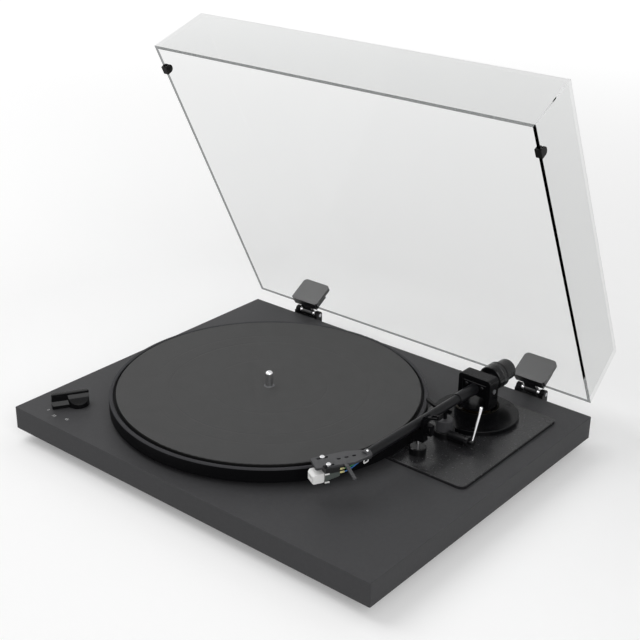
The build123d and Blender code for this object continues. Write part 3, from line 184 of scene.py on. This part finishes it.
def piped(path, radius, sides, closed=False):
    """Points and faces of a round section carried along a path.

    At each path point p with direction t, the ring is p + radius (n cos s + b sin s), where b is t crossed
    with a fixed helper direction and n is b crossed with t.
    """
    path = np.asarray(path, float)
    ahead = np.roll(path, -1, 0) - np.roll(path, 1, 0) if closed else np.gradient(path, axis=0)
    t = ahead / np.linalg.norm(ahead, axis=1, keepdims=True)
    helper = np.array([0.31, 0.42, 0.85])
    b = np.cross(t, helper)
    b /= np.linalg.norm(b, axis=1, keepdims=True)
    n = np.cross(b, t)
    s = np.linspace(0, 2 * np.pi, sides, endpoint=False)
    radius = np.broadcast_to(np.asarray(radius, float), (len(path),))[:, None, None]
    ring = n[:, None, :] * np.cos(s)[None, :, None] + b[:, None, :] * np.sin(s)[None, :, None]
    points = path[:, None, :] + radius * ring
    return points.reshape(-1, 3), woven(len(path), sides, closed)


def turned(profile, steps):
    """Points and faces of a closed outline of (radius, height) pairs turned about the z axis.

    Ring k of the outline holds (r cos s, r sin s, h). The outline runs clockwise in the r, h plane, so that the
    faces point outwards.
    """
    profile = np.asarray(profile, float)
    s = np.linspace(0, 2 * np.pi, steps, endpoint=False)
    r, h = profile[:, 0][None, :], profile[:, 1][None, :]
    level = np.broadcast_to(h, (steps, len(profile)))
    points = np.stack([r * np.cos(s)[:, None], r * np.sin(s)[:, None], level], -1)
    return points.reshape(-1, 3), woven(steps, len(profile), closed_rows=True)


def brick(low, high):
    """Points and faces of a box between two corners."""
    (x0, y0, z0), (x1, y1, z1) = low, high
    points = np.array([(x, y, z) for z in (z0, z1) for x, y in ((x0, y0), (x1, y0), (x1, y1), (x0, y1))])
    return points, woven(2, 4)


def joined(parts):
    """Several points-and-faces pairs as one: each part's face numbers are moved past those before it."""
    points, faces, start = [], [], 0
    for own, own_faces in parts:
        points.append(own)
        faces += [tuple(i + start for i in face) for face in own_faces]
        start += len(own)
    return np.concatenate(points), faces


def eased(ends, count):
    """A curve through four control points: the cubic whose weights are the third powers of 1 - t and t."""
    t = np.linspace(0, 1, count)[:, None]
    a, b, c, d = (np.asarray(p, float) for p in ends)
    return (1 - t) ** 3 * a + 3 * (1 - t) ** 2 * t * b + 3 * (1 - t) * t ** 2 * c + t ** 3 * d


def settled(piece, body, finish, stands_for=()):
    """Puts a piece on its body and slot and gives it its finish."""
    piece.data.materials.append(finish)
    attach(piece, body)
    if stands_for:
        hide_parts(*stands_for)
    return piece


# Finishes

class Reading:
    """A number socket that answers to arithmetic with Math nodes."""

    def __init__(self, book, socket):
        self.book, self.socket = book, socket

    def math(self, operation, other, turned_round=False):
        first, second = (other, self) if turned_round else (self, other)
        return self.book.node("ShaderNodeMath", {"operation": operation}, {0: first, 1: second})

    def __add__(self, other):
        return self.math("ADD", other)

    def __radd__(self, other):
        return self.math("ADD", other, True)

    def __sub__(self, other):
        return self.math("SUBTRACT", other)

    def __rsub__(self, other):
        return self.math("SUBTRACT", other, True)

    def __mul__(self, other):
        return self.math("MULTIPLY", other)

    def __rmul__(self, other):
        return self.math("MULTIPLY", other, True)

    def __gt__(self, other):
        return self.math("GREATER_THAN", other)

    def __lt__(self, other):
        return self.math("LESS_THAN", other)


class Book:
    """An emptied node tree and the one method that adds its nodes."""

    def __init__(self, tree):
        self.tree = tree
        self.tree.nodes.clear()

    def node(self, kind, settings=None, inputs=None, output=0):
        """Adds a node, applies its settings, fills its sockets by name or number, returns one output."""
        made = self.tree.nodes.new(kind)
        for key, value in (settings or {}).items():
            setattr(made, key, value)
        for key, value in (inputs or {}).items():
            socket = made.inputs[key]
            if isinstance(value, Reading):
                self.tree.links.new(value.socket, socket)
            elif isinstance(value, tuple) and len(value) == 3 and len(socket.default_value) == 4:
                socket.default_value = (*value, 1)
            else:
                socket.default_value = value
        return Reading(self, made.outputs[output]) if len(made.outputs) else None


class Finish(Book):
    """A material, and the patterns that its sockets are given."""

    def __init__(self, name):
        self.material = bpy.data.materials.new(name)
        self.material.use_nodes = True
        super().__init__(self.material.node_tree)

    def place(self):
        """The piece's own coordinates, in metres."""
        return self.node("ShaderNodeTexCoord", output="Object")

    def noise(self, scale, detail=2.0, stretch=(1, 1, 1)):
        """Cloudy numbers round 0.5; scale is lumps per metre."""
        at = self.node("ShaderNodeMapping", None, {"Vector": self.place(), "Scale": stretch})
        return self.node("ShaderNodeTexNoise", None, {"Vector": at, "Scale": scale, "Detail": detail})

    def blend(self, factor, first, second):
        """A colour that goes from first to second as factor goes from 0 to 1."""
        return self.node("ShaderNodeMix", {"data_type": "RGBA"}, {0: factor, 6: first, 7: second}, output=2)

    def along(self, axis):
        """One of the piece's own coordinates, 0 to 2 for x to z."""
        return self.node("ShaderNodeSeparateXYZ", None, {0: self.place()}, output=axis)

    def radius(self):
        """Distance from the upright axis through the origin, in metres."""
        at = self.node("ShaderNodeMapping", None, {"Vector": self.place(), "Scale": (1, 1, 0)})
        return self.node("ShaderNodeVectorMath", {"operation": "LENGTH"}, {0: at}, output="Value")

    def relief(self, height, depth):
        """A surface direction tilted by a height pattern, depth in metres."""
        return self.node("ShaderNodeBump", None, {"Height": height, "Distance": depth, "Strength": 1.0})

    def close(self, shader):
        """Sends the shader to the material's output and returns the material."""
        self.node("ShaderNodeOutputMaterial", None, {"Surface": shader})
        return self.material


def shaded(colour, amount):
    """A colour made darker or lighter by a share of itself."""
    return tuple(min(1.0, channel * (1 + amount)) for channel in colour[:3])


def coat(name, colour, rough, metal=0.0, gloss=0.5, mottle=0.12, grain=0.0, scale=600.0, stretch=(1, 1, 1)):
    """A plain finish: colour and roughness drift a little, and grain raises a fine relief."""
    book = Finish(name)
    cloud = book.noise(scale * 0.12, 3.0, stretch)
    speck = book.noise(scale, 2.0, stretch)
    sockets = {
        "Base Color": book.blend(cloud, shaded(colour, -mottle), shaded(colour, mottle)),
        "Roughness": (speck - 0.5) * (rough * 0.3) + rough,
        "Metallic": metal,
        "Specular IOR Level": gloss,
    }
    if grain:
        sockets["Normal"] = book.relief(speck, grain)
    return book.close(book.node("ShaderNodeBsdfPrincipled", None, sockets))


def mat_finish(colour):
    """Matt rubber with very fine rings that follow the record, and three faint wide ones; its outer edge is
    coloured near black as painted shade in the gap by the lip.
    """
    book = Finish("Mat rubber")
    far = book.radius()
    rings = book.node("ShaderNodeMath", {"operation": "SINE"}, {0: far * fine_rings}) * 0.25
    for distance, depth in mat_rings:
        aside = (far - distance).math("ABSOLUTE", 0.0)
        rings = rings - (1.0 - aside * ring_slope).math("MAXIMUM", 0.0) * depth
    cloud = book.noise(60.0, 3.0)
    speck = book.noise(2400.0)
    top = book.blend(cloud, shaded(colour, -0.1), shaded(colour, 0.1))
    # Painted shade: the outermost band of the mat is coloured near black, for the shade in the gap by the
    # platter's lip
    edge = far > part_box("platter_mat")[1].x - mat_gap_shade_width
    sockets = {
        "Base Color": book.blend(edge, top, shaded(colour, -0.9)),
        "Roughness": 0.62 + (speck - 0.5) * 0.2,
        "Specular IOR Level": 0.2,
        "Normal": book.relief(rings + speck, 0.00006),
    }
    return book.close(book.node("ShaderNodeBsdfPrincipled", None, sockets))


def platter_finish(side, lip):
    """Black painted dish, round its side and in the gap round the mat; the top of its lip is coloured grey as a
    painted sheen, in place of a reflection.
    """
    book = Finish("Platter paint")
    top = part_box("platter")[1].z
    speck = book.noise(900.0)
    sockets = {
        # Painted sheen: the lip's top band gets the grey that stands for light caught on it; below it the dish
        # is black
        "Base Color": book.blend(book.along(2) > top - lip_sheen_band, side[:3], lip[:3]),
        "Roughness": 0.4 + (speck - 0.5) * 0.1,
        "Specular IOR Level": 0.02,
    }
    return book.close(book.node("ShaderNodeBsdfPrincipled", None, sockets))


def lift_finish(flange, column):
    """Black flange under a column coloured satin grey as a painted reflection of the sky on what is glossy
    black.
    """
    book = Finish("Lift column paint")
    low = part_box("lift_column")[0].z
    speck = book.noise(2400.0)
    sockets = {
        # Painted reflection: above the flange the column takes the lip's grey, for the sky seen in its glossy
        # black
        "Base Color": book.blend(book.along(2) > low + flange_height, flange[:3], column[:3]),
        "Roughness": 0.34 + (speck - 0.5) * 0.1,
        "Specular IOR Level": 0.15,
    }
    return book.close(book.node("ShaderNodeBsdfPrincipled", None, sockets))


def acrylic_finish(tint, edge):
    """Clear sheet acrylic with a trace of haze; the open rim's cut edge is coloured darker as painted shade,
    for the dark lines that refraction gives at the edges.

    The edge is found by the height over the hinge's axis that a point has when the lid is shut. That is
    y sin a + z cos a, where y and z are taken from the axis and a is the angle that the lid stands open.
    """
    book = Finish("Clear acrylic")
    haze = book.noise(30.0, 3.0)
    y, z = book.along(1) - hinge_line[0], book.along(2) - hinge_line[1]
    # Painted shade: points near the rim's cut edge get the dark edge tint in place of the clear one
    cut = y * math.sin(lid_open) + z * math.cos(lid_open) < rim_height + cut_edge_shade_width
    sockets = {
        "Base Color": book.blend(cut, book.blend(haze, shaded(tint, -0.01), tint[:3]), edge[:3]),
        "Roughness": haze * 0.01,
        "IOR": 1.08,
        "Transmission Weight": 1.0,
    }
    return book.close(book.node("ShaderNodeBsdfPrincipled", None, sockets))


def cartridge_finish(body, top):
    """Moulded body whose top band is black and the rest green-grey."""
    book = Finish("Cartridge body")
    low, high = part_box("cartridge")
    band = book.along(2) > low.z + (high.z - low.z) * cartridge_band
    speck = book.noise(1800.0)
    sockets = {
        "Base Color": book.blend(band, body[:3], top[:3]),
        "Roughness": 0.42 + (speck - 0.5) * 0.2,
        "Normal": book.relief(speck, 0.00002),
    }
    return book.close(book.node("ShaderNodeBsdfPrincipled", None, sockets))


def laminate_finish(board, track):
    """Circuit board: green lacquer over a net of slightly lighter tracks."""
    book = Finish("Circuit laminate")
    cells = book.node("ShaderNodeTexVoronoi", {"feature": "DISTANCE_TO_EDGE"},
                      {"Vector": book.place(), "Scale": 260.0})
    sockets = {"Base Color": book.blend(cells < 0.06, board[:3], track[:3]), "Roughness": 0.4 + cells * 0.1}
    return book.close(book.node("ShaderNodeBsdfPrincipled", None, sockets))


def colour_prop(name, description, value):
    """A colour the user can change."""
    return FloatVectorProperty(name=name, description=description, subtype="COLOR", size=3, min=0, max=1,
                               default=value)


def number_prop(name, description, value, **rest):
    """A number the user can change."""
    return FloatProperty(name=name, description=description, default=value, **rest)


def length_prop(name, description, value):
    """A length the user can change, in metres."""
    return number_prop(name, description, value, unit="LENGTH")


class TurntableColours(bpy.types.PropertyGroup):
    """Colours of the finishes, as linear values."""

    plinth: colour_prop("Plinth", "Charcoal lacquer of the plinth", (0.04, 0.04, 0.042))
    mat: colour_prop("Mat", "Rubber mat", (0.044, 0.044, 0.044))
    platter: colour_prop("Platter", "Painted platter", (0.0045, 0.0045, 0.005))
    # Painted sheen: this grey stands for light caught on the platter's lip, and for the reflection on the lift
    # column
    lip: colour_prop("Platter lip", "Satin top of the platter's lip", (0.045, 0.045, 0.048))
    gloss_black: colour_prop("Gloss black", "Knob and dial", (0.0045, 0.0045, 0.005))
    plastic: colour_prop("Black plastic", "Hinges and other moulded parts", (0.006, 0.006, 0.0065))
    arm_board: colour_prop("Arm board", "Polished plate under the arm", (0.014, 0.014, 0.015))
    arm: colour_prop("Arm black", "Pivot, yoke and base", (0.003, 0.003, 0.0035))
    tube: colour_prop("Arm tube", "Satin dark arm tube", (0.007, 0.007, 0.008))
    head: colour_prop("Headshell", "Satin headshell plate", (0.037, 0.037, 0.04))
    weight: colour_prop("Counterweight", "Black plated weight", (0.0075, 0.0075, 0.008))
    rubber: colour_prop("Rubber", "Feet, belt and bumpers", (0.006, 0.006, 0.006))
    steel: colour_prop("Steel", "Zinc screws and bearing steel", (0.42, 0.42, 0.44))
    chrome: colour_prop("Chrome", "Bright plated parts", (0.72, 0.72, 0.73))
    gold: colour_prop("Gold ring", "Ring on the pillar", (0.045, 0.040, 0.030))
    bronze: colour_prop("Bronze", "Bush and bearing cup", (0.22, 0.14, 0.06))
    brass: colour_prop("Brass", "Motor pulley", (0.55, 0.40, 0.14))
    inner_disc: colour_prop("Inner disc", "Moulded sub-platter", (0.06, 0.06, 0.065))
    cartridge: colour_prop("Cartridge", "Green-grey cartridge body", (0.068, 0.08, 0.074))
    stylus_block: colour_prop("Stylus block", "Pale moulded stylus holder", (0.78, 0.78, 0.77))
    diamond: colour_prop("Diamond", "Stylus tip", (0.6, 0.6, 0.6))
    board_green: colour_prop("Circuit board", "Green lacquer", (0.016, 0.1, 0.038))
    track_green: colour_prop("Circuit tracks", "Tracks under the lacquer", (0.045, 0.21, 0.08))
    lid: colour_prop("Lid", "Tint of the clear acrylic", (0.88, 0.884, 0.882))
    # Painted shade: the dark tint of the rim's cut edge stands for the dark lines that refraction gives there
    lid_edge_shade: colour_prop("Lid edge", "Tint of the acrylic at the cut edge of the rim", (0.1, 0.105, 0.105))
    print_grey: colour_prop("Printed numbers", "Numbers beside the knob", (0.42, 0.42, 0.42))
    wire_blue: colour_prop("Blue wire", "Nearest lead", (0.03, 0.14, 0.45))
    wire_green: colour_prop("Green wire", "Second lead", (0.03, 0.28, 0.1))
    wire_white: colour_prop("White wire", "Third lead", (0.75, 0.75, 0.72))
    wire_red: colour_prop("Red wire", "Fourth lead", (0.5, 0.03, 0.03))
    pin_yellow: colour_prop("Lead pins", "Pale sleeves on the cartridge's pins", (0.78, 0.73, 0.35))


class TurntableSizes(bpy.types.PropertyGroup):
    """Sizes of the pieces that are added to the frame."""

    number_size: length_prop("Number size", "Type size of the printed numbers", 4.2 * MM)
    number_radius: length_prop("Number radius", "Numbers' distance from their arc's middle", 28.0 * MM)
    print_depth: length_prop("Print depth", "Thickness of the print", 0.06 * MM)
    wire_radius: length_prop("Wire radius", "Radius of a cartridge lead", 0.5 * MM)
    pin_radius: length_prop("Pin sleeve radius", "Radius of the sleeve on each pin", 0.85 * MM)
    loop_radius: length_prop("Loop radius", "Radius of the wire loop at the tube's end", 2.9 * MM)
    loop_wire: length_prop("Loop wire", "Radius of the loop's wire", 0.55 * MM)
    spring_radius: length_prop("Spring radius", "Radius of the hinge springs' coils", 3.1 * MM)
    spring_wire: length_prop("Spring wire", "Radius of the springs' wire", 0.4 * MM)
    turn_steps: IntProperty(name="Turn steps", description="Steps round a turned piece", default=48, min=12)


class TurntableStudio(bpy.types.PropertyGroup):
    """The stage: lamps, floor and camera."""

    sky: number_prop("Sky strength", "Even light from all round", 0.45)
    key: number_prop("Key lamp", "Power of the large lamp above on the left", 10.0, unit="POWER")
    fill: number_prop("Fill lamp", "Power of the lamp on the right", 12.0, unit="POWER")
    floor_size: length_prop("Floor size", "Half the floor's width", 12.0)
    floor_glow: number_prop("Floor glow", "Light of its own that the floor shows near the object", 0.22)
    glow_far: number_prop("Far glow", "Light of its own that the floor shows far off", 0.68)
    glow_near: length_prop("Near distance", "Distance up to which the near glow stays", 0.45)
    glow_reach: length_prop("Glow reach", "Distance over which the near glow turns into the far one", 1.6)
    floor_white: number_prop("Floor white", "Share of light that the floor gives back", 0.75, max=1.0)
    lens: number_prop("Lens", "Focal length on a 36 mm wide sensor", 69.847)


def colours():
    """The scene's colours."""
    return bpy.context.scene.turntable_colours


def sizes():
    """The scene's sizes."""
    return bpy.context.scene.turntable_sizes


def frame_finishes():
    """Every material slot of the record with its finish."""
    hue = colours()
    return {
        "plinth_paint": coat("Plinth lacquer", hue.plinth, 0.55, gloss=0.2, grain=0.00002, scale=2200.0),
        "foot_rubber": coat("Foot rubber", hue.rubber, 0.75, gloss=0.15, grain=0.00005, scale=900.0),
        "screw_steel": coat("Screw steel", hue.steel, 0.32, metal=1.0, stretch=(1, 6, 1), scale=900.0),
        "black_plastic": coat("Moulded black", hue.plastic, 0.38, gloss=0.1, grain=0.00001, scale=2600.0),
        "gloss_black": coat("Gloss black", hue.gloss_black, 0.14, gloss=0.16, mottle=0.05, scale=300.0),
        "bearing_bronze": coat("Bearing bronze", hue.bronze, 0.36, metal=1.0, scale=700.0),
        "bearing_steel": coat("Bearing steel", hue.steel, 0.26, scale=800.0, **plated),
        "spindle_chrome": coat("Spindle chrome", hue.chrome, 0.14, scale=500.0, **plated),
        "sub_platter_plastic": coat("Inner disc plastic", hue.inner_disc, 0.45, grain=0.00002, scale=1200.0),
        "platter_metal": platter_finish(hue.platter, hue.lip),
        "mat_rubber": mat_finish(hue.mat),
        "belt_rubber": coat("Belt rubber", hue.rubber, 0.6, grain=0.00002, scale=1500.0),
        "motor_steel": coat("Motor steel", hue.steel, 0.42, metal=1.0, stretch=(1, 1, 8), scale=700.0),
        "pulley_brass": coat("Pulley brass", hue.brass, 0.25, metal=1.0, scale=900.0),
        "board_laminate": laminate_finish(hue.board_green, hue.track_green),
        "arm_board_gloss": coat("Arm board polish", hue.arm_board, 0.26, gloss=0.32, mottle=0.05,
                                scale=400.0),
        "arm_black": coat("Arm black", hue.arm, 0.2, gloss=0.1, mottle=0.05, scale=2400.0),
        "ring_gold": coat("Gold ring", hue.gold, 0.3, metal=1.0, scale=900.0),
        "tube_grey": coat("Arm tube satin", hue.tube, 0.34, gloss=0.12, scale=2400.0),
        "head_grey": coat("Headshell satin", hue.head, 0.4, gloss=0.4, grain=0.00001, scale=2400.0),
        "weight_steel": coat("Weight plating", hue.weight, 0.26, gloss=0.25, mottle=0.05, scale=2400.0),
        "cartridge_green": cartridge_finish(hue.cartridge, hue.plastic),
        "stylus_grey": coat("Stylus block", hue.stylus_block, 0.45, grain=0.00001, scale=2400.0),
        "stylus_diamond": coat("Stylus tip", hue.diamond, 0.1, gloss=0.8, scale=2000.0),
        "screw_chrome": coat("Screw chrome", hue.chrome, 0.2, scale=900.0, **plated),
        "lead_wire": coat("Lead wire", hue.wire_blue, 0.4, scale=900.0),
        "rod_chrome": coat("Rod chrome", hue.chrome, 0.12, scale=500.0, **plated),
        "lid_acrylic": acrylic_finish(hue.lid, hue.lid_edge_shade),
        "bumper_rubber": coat("Bumper rubber", hue.rubber, 0.5, gloss=0.12, grain=0.00003, scale=1100.0),
        "socket_metal": coat("Socket plating", hue.gold, 0.28, metal=1.0, scale=900.0),
    }


class TURNTABLE_OT_finishes(bpy.types.Operator):
    """Give every piece of the frame its finish"""

    bl_idname = "turntable.finishes"
    bl_label = "Frame Finishes"

    def execute(self, context):
        hue, finishes = colours(), frame_finishes()
        own = {
            "hinge_clamps": coat("Hinge plate", hue.plastic, 0.3, gloss=0.7, grain=0.00001, scale=2600.0),
            # The lift column's grey is the lip's colour, used as a painted reflection
            "lift_column": lift_finish(hue.arm, hue.lip),
            "lift_housing": coat("Lift housing satin", hue.arm, 0.35, gloss=0.12, scale=2400.0),
            "rest_cradle": coat("Cradle black", hue.arm, 0.45, gloss=0.04, scale=2400.0),
            "rest_latch": coat("Latch black", hue.arm, 0.45, gloss=0.04, scale=2400.0),
        }
        for name, node in nodes.items():
            node.data.materials.clear()
            node.data.materials.append(own.get(name, finishes[slot_of[name]]))
        return {"FINISHED"}


class TURNTABLE_OT_numbers(bpy.types.Operator):
    """Print the speed numbers beside the knob"""

    bl_idname = "turntable.numbers"
    bl_label = "Speed Numbers"

    def execute(self, context):
        size = sizes()
        finish = coat("Printed number", colours().print_grey, 0.6, scale=1500.0)
        for text, degrees in number_turns.items():
            curve = bpy.data.curves.new("Number " + text, "FONT")
            curve.body = text
            curve.size = size.number_size
            curve.extrude = size.print_depth / 2
            curve.align_x = curve.align_y = "CENTER"
            source = bpy.data.objects.new("Number source", curve)
            mesh = bpy.data.meshes.new_from_object(source)
            bpy.data.objects.remove(source)
            x = numbers_at[0] - size.number_radius * math.sin(math.radians(degrees))
            y = numbers_at[1] - size.number_radius * math.cos(math.radians(degrees))
            mesh.transform(Matrix.Translation((x, y, deck_top)))
            mesh.materials.clear()
            piece = bpy.data.objects.new("Number_" + text, mesh)
            context.scene.collection.objects.link(piece)
            settled(piece, "root", finish)
        return {"FINISHED"}


class TURNTABLE_OT_leads(bpy.types.Operator):
    """Run the four coloured leads from the cartridge's pins into the tube"""

    bl_idname = "turntable.leads"
    bl_label = "Cartridge Leads"

    def execute(self, context):
        hue, size = colours(), sizes()
        head = head_frame()
        for across, down, key, word in leads:
            drawn_in = [(x, across * share, z) for x, share, z in (lead_gather, lead_end)]
            path = eased([(lead_start, across, down), (lead_bend, across, down - lead_sag), *drawn_in], 28)
            points, faces = piped(path, size.wire_radius, 10)
            piece = skin(word + "_lead", placed(points, head), faces)
            wire = coat(word + " wire", getattr(hue, key), 0.42, scale=900.0)
            settled(piece, "arm_wand", wire, ("cartridge_leads",))
        sleeves = [piped([(pins_from, across, down), (pins_to, across, down)], size.pin_radius, 12)
                   for across, down, _, _ in leads]
        points, faces = joined(sleeves)
        piece = skin("Pin_sleeves", placed(points, head), faces)
        settled(piece, "arm_wand", coat("Pin sleeve", hue.pin_yellow, 0.4, scale=900.0))
        return {"FINISHED"}


class TURNTABLE_OT_head_trim(bpy.types.Operator):
    """Add the stylus block's two prongs, and the wire loop and the small screw at the tube's front end"""

    bl_idname = "turntable.head_trim"
    bl_label = "Head Trim"

    def execute(self, context):
        hue, size = colours(), sizes()
        pale = coat("Pale trim", hue.stylus_block, 0.45, scale=1500.0)
        prongs = [brick((*prong_low, z), (*prong_high, z + prong_height)) for z in prong_bottoms]
        points, faces = joined(prongs)
        piece = skin("Stylus_prongs", placed(points, head_frame()), faces, False)
        settled(piece, "arm_wand", pale)
        s = np.linspace(0, 2 * np.pi, 40, endpoint=False)
        flat = np.maximum(np.sin(s), loop_flat)
        loop = np.array(loop_centre) + size.loop_radius * np.stack([np.cos(s), s * 0, flat], -1)
        points, faces = piped(loop, size.loop_wire, 10, closed=True)
        piece = skin("Wire_loop", placed(points, arm_frame()), faces)
        settled(piece, "arm_wand", pale)
        axis = np.stack([collet_heights * 0, collet_heights * 0, collet_heights], -1)
        points, faces = piped(axis, collet_radii, 20)
        piece = skin("Collet_screw", placed(points, Matrix.Translation(collet_place)), faces)
        bright = coat("Collet screw", hue.chrome, 0.2, scale=900.0, **plated)
        settled(piece, "arm_wand", bright)
        return {"FINISHED"}


class TURNTABLE_OT_springs(bpy.types.Operator):
    """Wind a spring round each end of the two hinge pins"""

    bl_idname = "turntable.springs"
    bl_label = "Hinge Springs"

    def execute(self, context):
        size = sizes()
        finish = coat("Spring steel", colours().chrome, 0.2, scale=900.0, **plated)
        turn = np.linspace(0, 2 * np.pi * spring_turns, 120)
        for word, middle in hinge_middles.items():
            coils = []
            for side in (-1, 1):
                along = middle + side * (spring_start + spring_length * turn / turn[-1])
                coil = np.stack([along, hinge_line[0] + size.spring_radius * np.cos(turn),
                                 hinge_line[1] + size.spring_radius * np.sin(turn)], -1)
                coils.append(piped(coil, size.spring_wire, 10))
            points, faces = joined(coils)
            settled(skin(word + "_springs", points, faces), "root", finish)
        return {"FINISHED"}


class TURNTABLE_OT_sockets(bpy.types.Operator):
    """Put a red and a white collar on the two rear sockets"""

    bl_idname = "turntable.sockets"
    bl_label = "Socket Collars"

    def execute(self, context):
        hue = colours()
        paints = {"White": hue.wire_white, "Red": hue.wire_red}
        backward = Matrix.Rotation(math.radians(-90), 4, "X")
        for word, x in socket_x.items():
            points, faces = turned(collar_outline, sizes().turn_steps)
            place = Matrix.Translation((x, socket_y, socket_z)) @ backward
            piece = skin(word + "_collar", placed(points, place), faces, False)
            settled(piece, "root", coat(word + " collar", paints[word], 0.4, scale=900.0))
        return {"FINISHED"}


class TURNTABLE_OT_studio(bpy.types.Operator):
    """Set the floor, the lamps, the sky and the camera"""

    bl_idname = "turntable.studio"
    bl_label = "Studio"

    def execute(self, context):
        studio = context.scene.turntable_studio
        self.lay_floor(studio)
        self.light_sky(context, studio)
        self.hang_lamp("Key lamp", studio.key, key_width, key_place)
        self.hang_lamp("Fill lamp", studio.fill, fill_width, fill_place)
        self.set_camera(context, studio)
        context.scene.view_settings.view_transform = "Standard"
        return {"FINISHED"}

    @staticmethod
    def seen_rays(book):
        """1 for rays from the camera, from a mirror or through glass, else 0."""
        kinds = [book.node("ShaderNodeLightPath", output=kind)
                 for kind in ("Is Camera Ray", "Is Glossy Ray", "Is Transmission Ray")]
        return kinds[0].math("MAXIMUM", kinds[1]).math("MAXIMUM", kinds[2])

    def lay_floor(self, studio):
        """A white floor that shows its own light to the camera, little near the object and more far off."""
        half = studio.floor_size
        points = np.array([(-half, -half, floor_level), (half, -half, floor_level),
                           (half, half, floor_level), (-half, half, floor_level)])
        floor = skin("Floor", points, [(0, 1, 2, 3)], False)
        book = Finish("Floor white")
        white = (studio.floor_white,) * 3
        lit = book.node("ShaderNodeBsdfDiffuse", None, {"Color": white})
        far = (book.radius() - studio.glow_near).math("MAXIMUM", 0.0) * (1 / studio.glow_reach)
        share = far.math("MINIMUM", 1.0) * (studio.glow_far - studio.floor_glow) + studio.floor_glow
        glow = book.node("ShaderNodeEmission", None,
                         {"Color": (1, 1, 1), "Strength": self.seen_rays(book).math("MULTIPLY", share)})
        floor.data.materials.append(book.close(book.node("ShaderNodeAddShader", None, {0: lit, 1: glow})))

    def light_sky(self, context, studio):
        """An even sky that is plain white wherever it is seen."""
        world = bpy.data.worlds.new("Studio sky")
        context.scene.world = world
        world.use_nodes = True
        book = Book(world.node_tree)
        seen = self.seen_rays(book)
        glow = book.node("ShaderNodeBackground", None,
                         {"Color": (1, 1, 1), "Strength": seen * (1 - studio.sky) + studio.sky})
        book.node("ShaderNodeOutputWorld", None, {"Surface": glow})

    @staticmethod
    def hang_lamp(name, power, width, place):
        """A round lamp that looks at the middle of the object."""
        light = bpy.data.lights.new(name, "AREA")
        light.energy, light.shape, light.size = power, "DISK", width
        lamp = bpy.data.objects.new(name, light)
        bpy.context.scene.collection.objects.link(lamp)
        lamp.location = place
        lamp.rotation_euler = Vector(place).to_track_quat("Z", "Y").to_euler()

    @staticmethod
    def set_camera(context, studio):
        """Camera at the photograph's angle: azimuth from -y towards x, elevation, and roll about the view."""
        azimuth, elevation, roll = camera_azimuth, camera_elevation, camera_roll
        back = np.array([math.sin(azimuth) * math.cos(elevation), -math.cos(azimuth) * math.cos(elevation),
                         math.sin(elevation)])
        level = np.array([math.cos(azimuth), math.sin(azimuth), 0.0])
        rise = np.cross(back, level)
        right = math.cos(roll) * level + math.sin(roll) * rise
        up = math.cos(roll) * rise - math.sin(roll) * level
        data = bpy.data.cameras.new("Camera")
        data.sensor_width = 36.0
        data.lens = studio.lens
        data.shift_x, data.shift_y = camera_shift
        camera = bpy.data.objects.new("Camera", data)
        context.scene.collection.objects.link(camera)
        turn = Matrix((right, up, back)).transposed().to_4x4()
        camera.matrix_world = Matrix.Translation(camera_place) @ turn
        context.scene.camera = camera


class TURNTABLE_PT_panel(bpy.types.Panel):
    """Lists the turntable's pieces and values"""

    bl_idname = "TURNTABLE_PT_panel"
    bl_label = "Turntable"
    bl_space_type = "VIEW_3D"
    bl_region_type = "UI"
    bl_category = "Turntable"

    def draw(self, context):
        column = self.layout.column()
        for operator in OPERATORS:
            column.operator(operator.bl_idname)
        for group in (context.scene.turntable_colours, context.scene.turntable_sizes,
                      context.scene.turntable_studio):
            for name in group.bl_rna.properties.keys():
                if name not in ("rna_type", "name"):
                    column.prop(group, name)


OPERATORS = (TURNTABLE_OT_finishes, TURNTABLE_OT_numbers, TURNTABLE_OT_leads, TURNTABLE_OT_head_trim,
             TURNTABLE_OT_springs, TURNTABLE_OT_sockets, TURNTABLE_OT_studio)
GROUPS = {"turntable_colours": TurntableColours, "turntable_sizes": TurntableSizes,
          "turntable_studio": TurntableStudio}


def register():
    for kind in (*GROUPS.values(), *OPERATORS, TURNTABLE_PT_panel):
        bpy.utils.register_class(kind)
    for name, kind in GROUPS.items():
        setattr(bpy.types.Scene, name, PointerProperty(type=kind))


def unregister():
    for name in GROUPS:
        delattr(bpy.types.Scene, name)
    for kind in reversed((*GROUPS.values(), *OPERATORS, TURNTABLE_PT_panel)):
        bpy.utils.unregister_class(kind)


def main():
    register()
    bpy.ops.turntable.finishes()
    bpy.ops.turntable.numbers()
    bpy.ops.turntable.leads()
    bpy.ops.turntable.head_trim()
    bpy.ops.turntable.springs()
    bpy.ops.turntable.sockets()
    bpy.ops.turntable.studio()


if __name__ == "__main__":
    main()
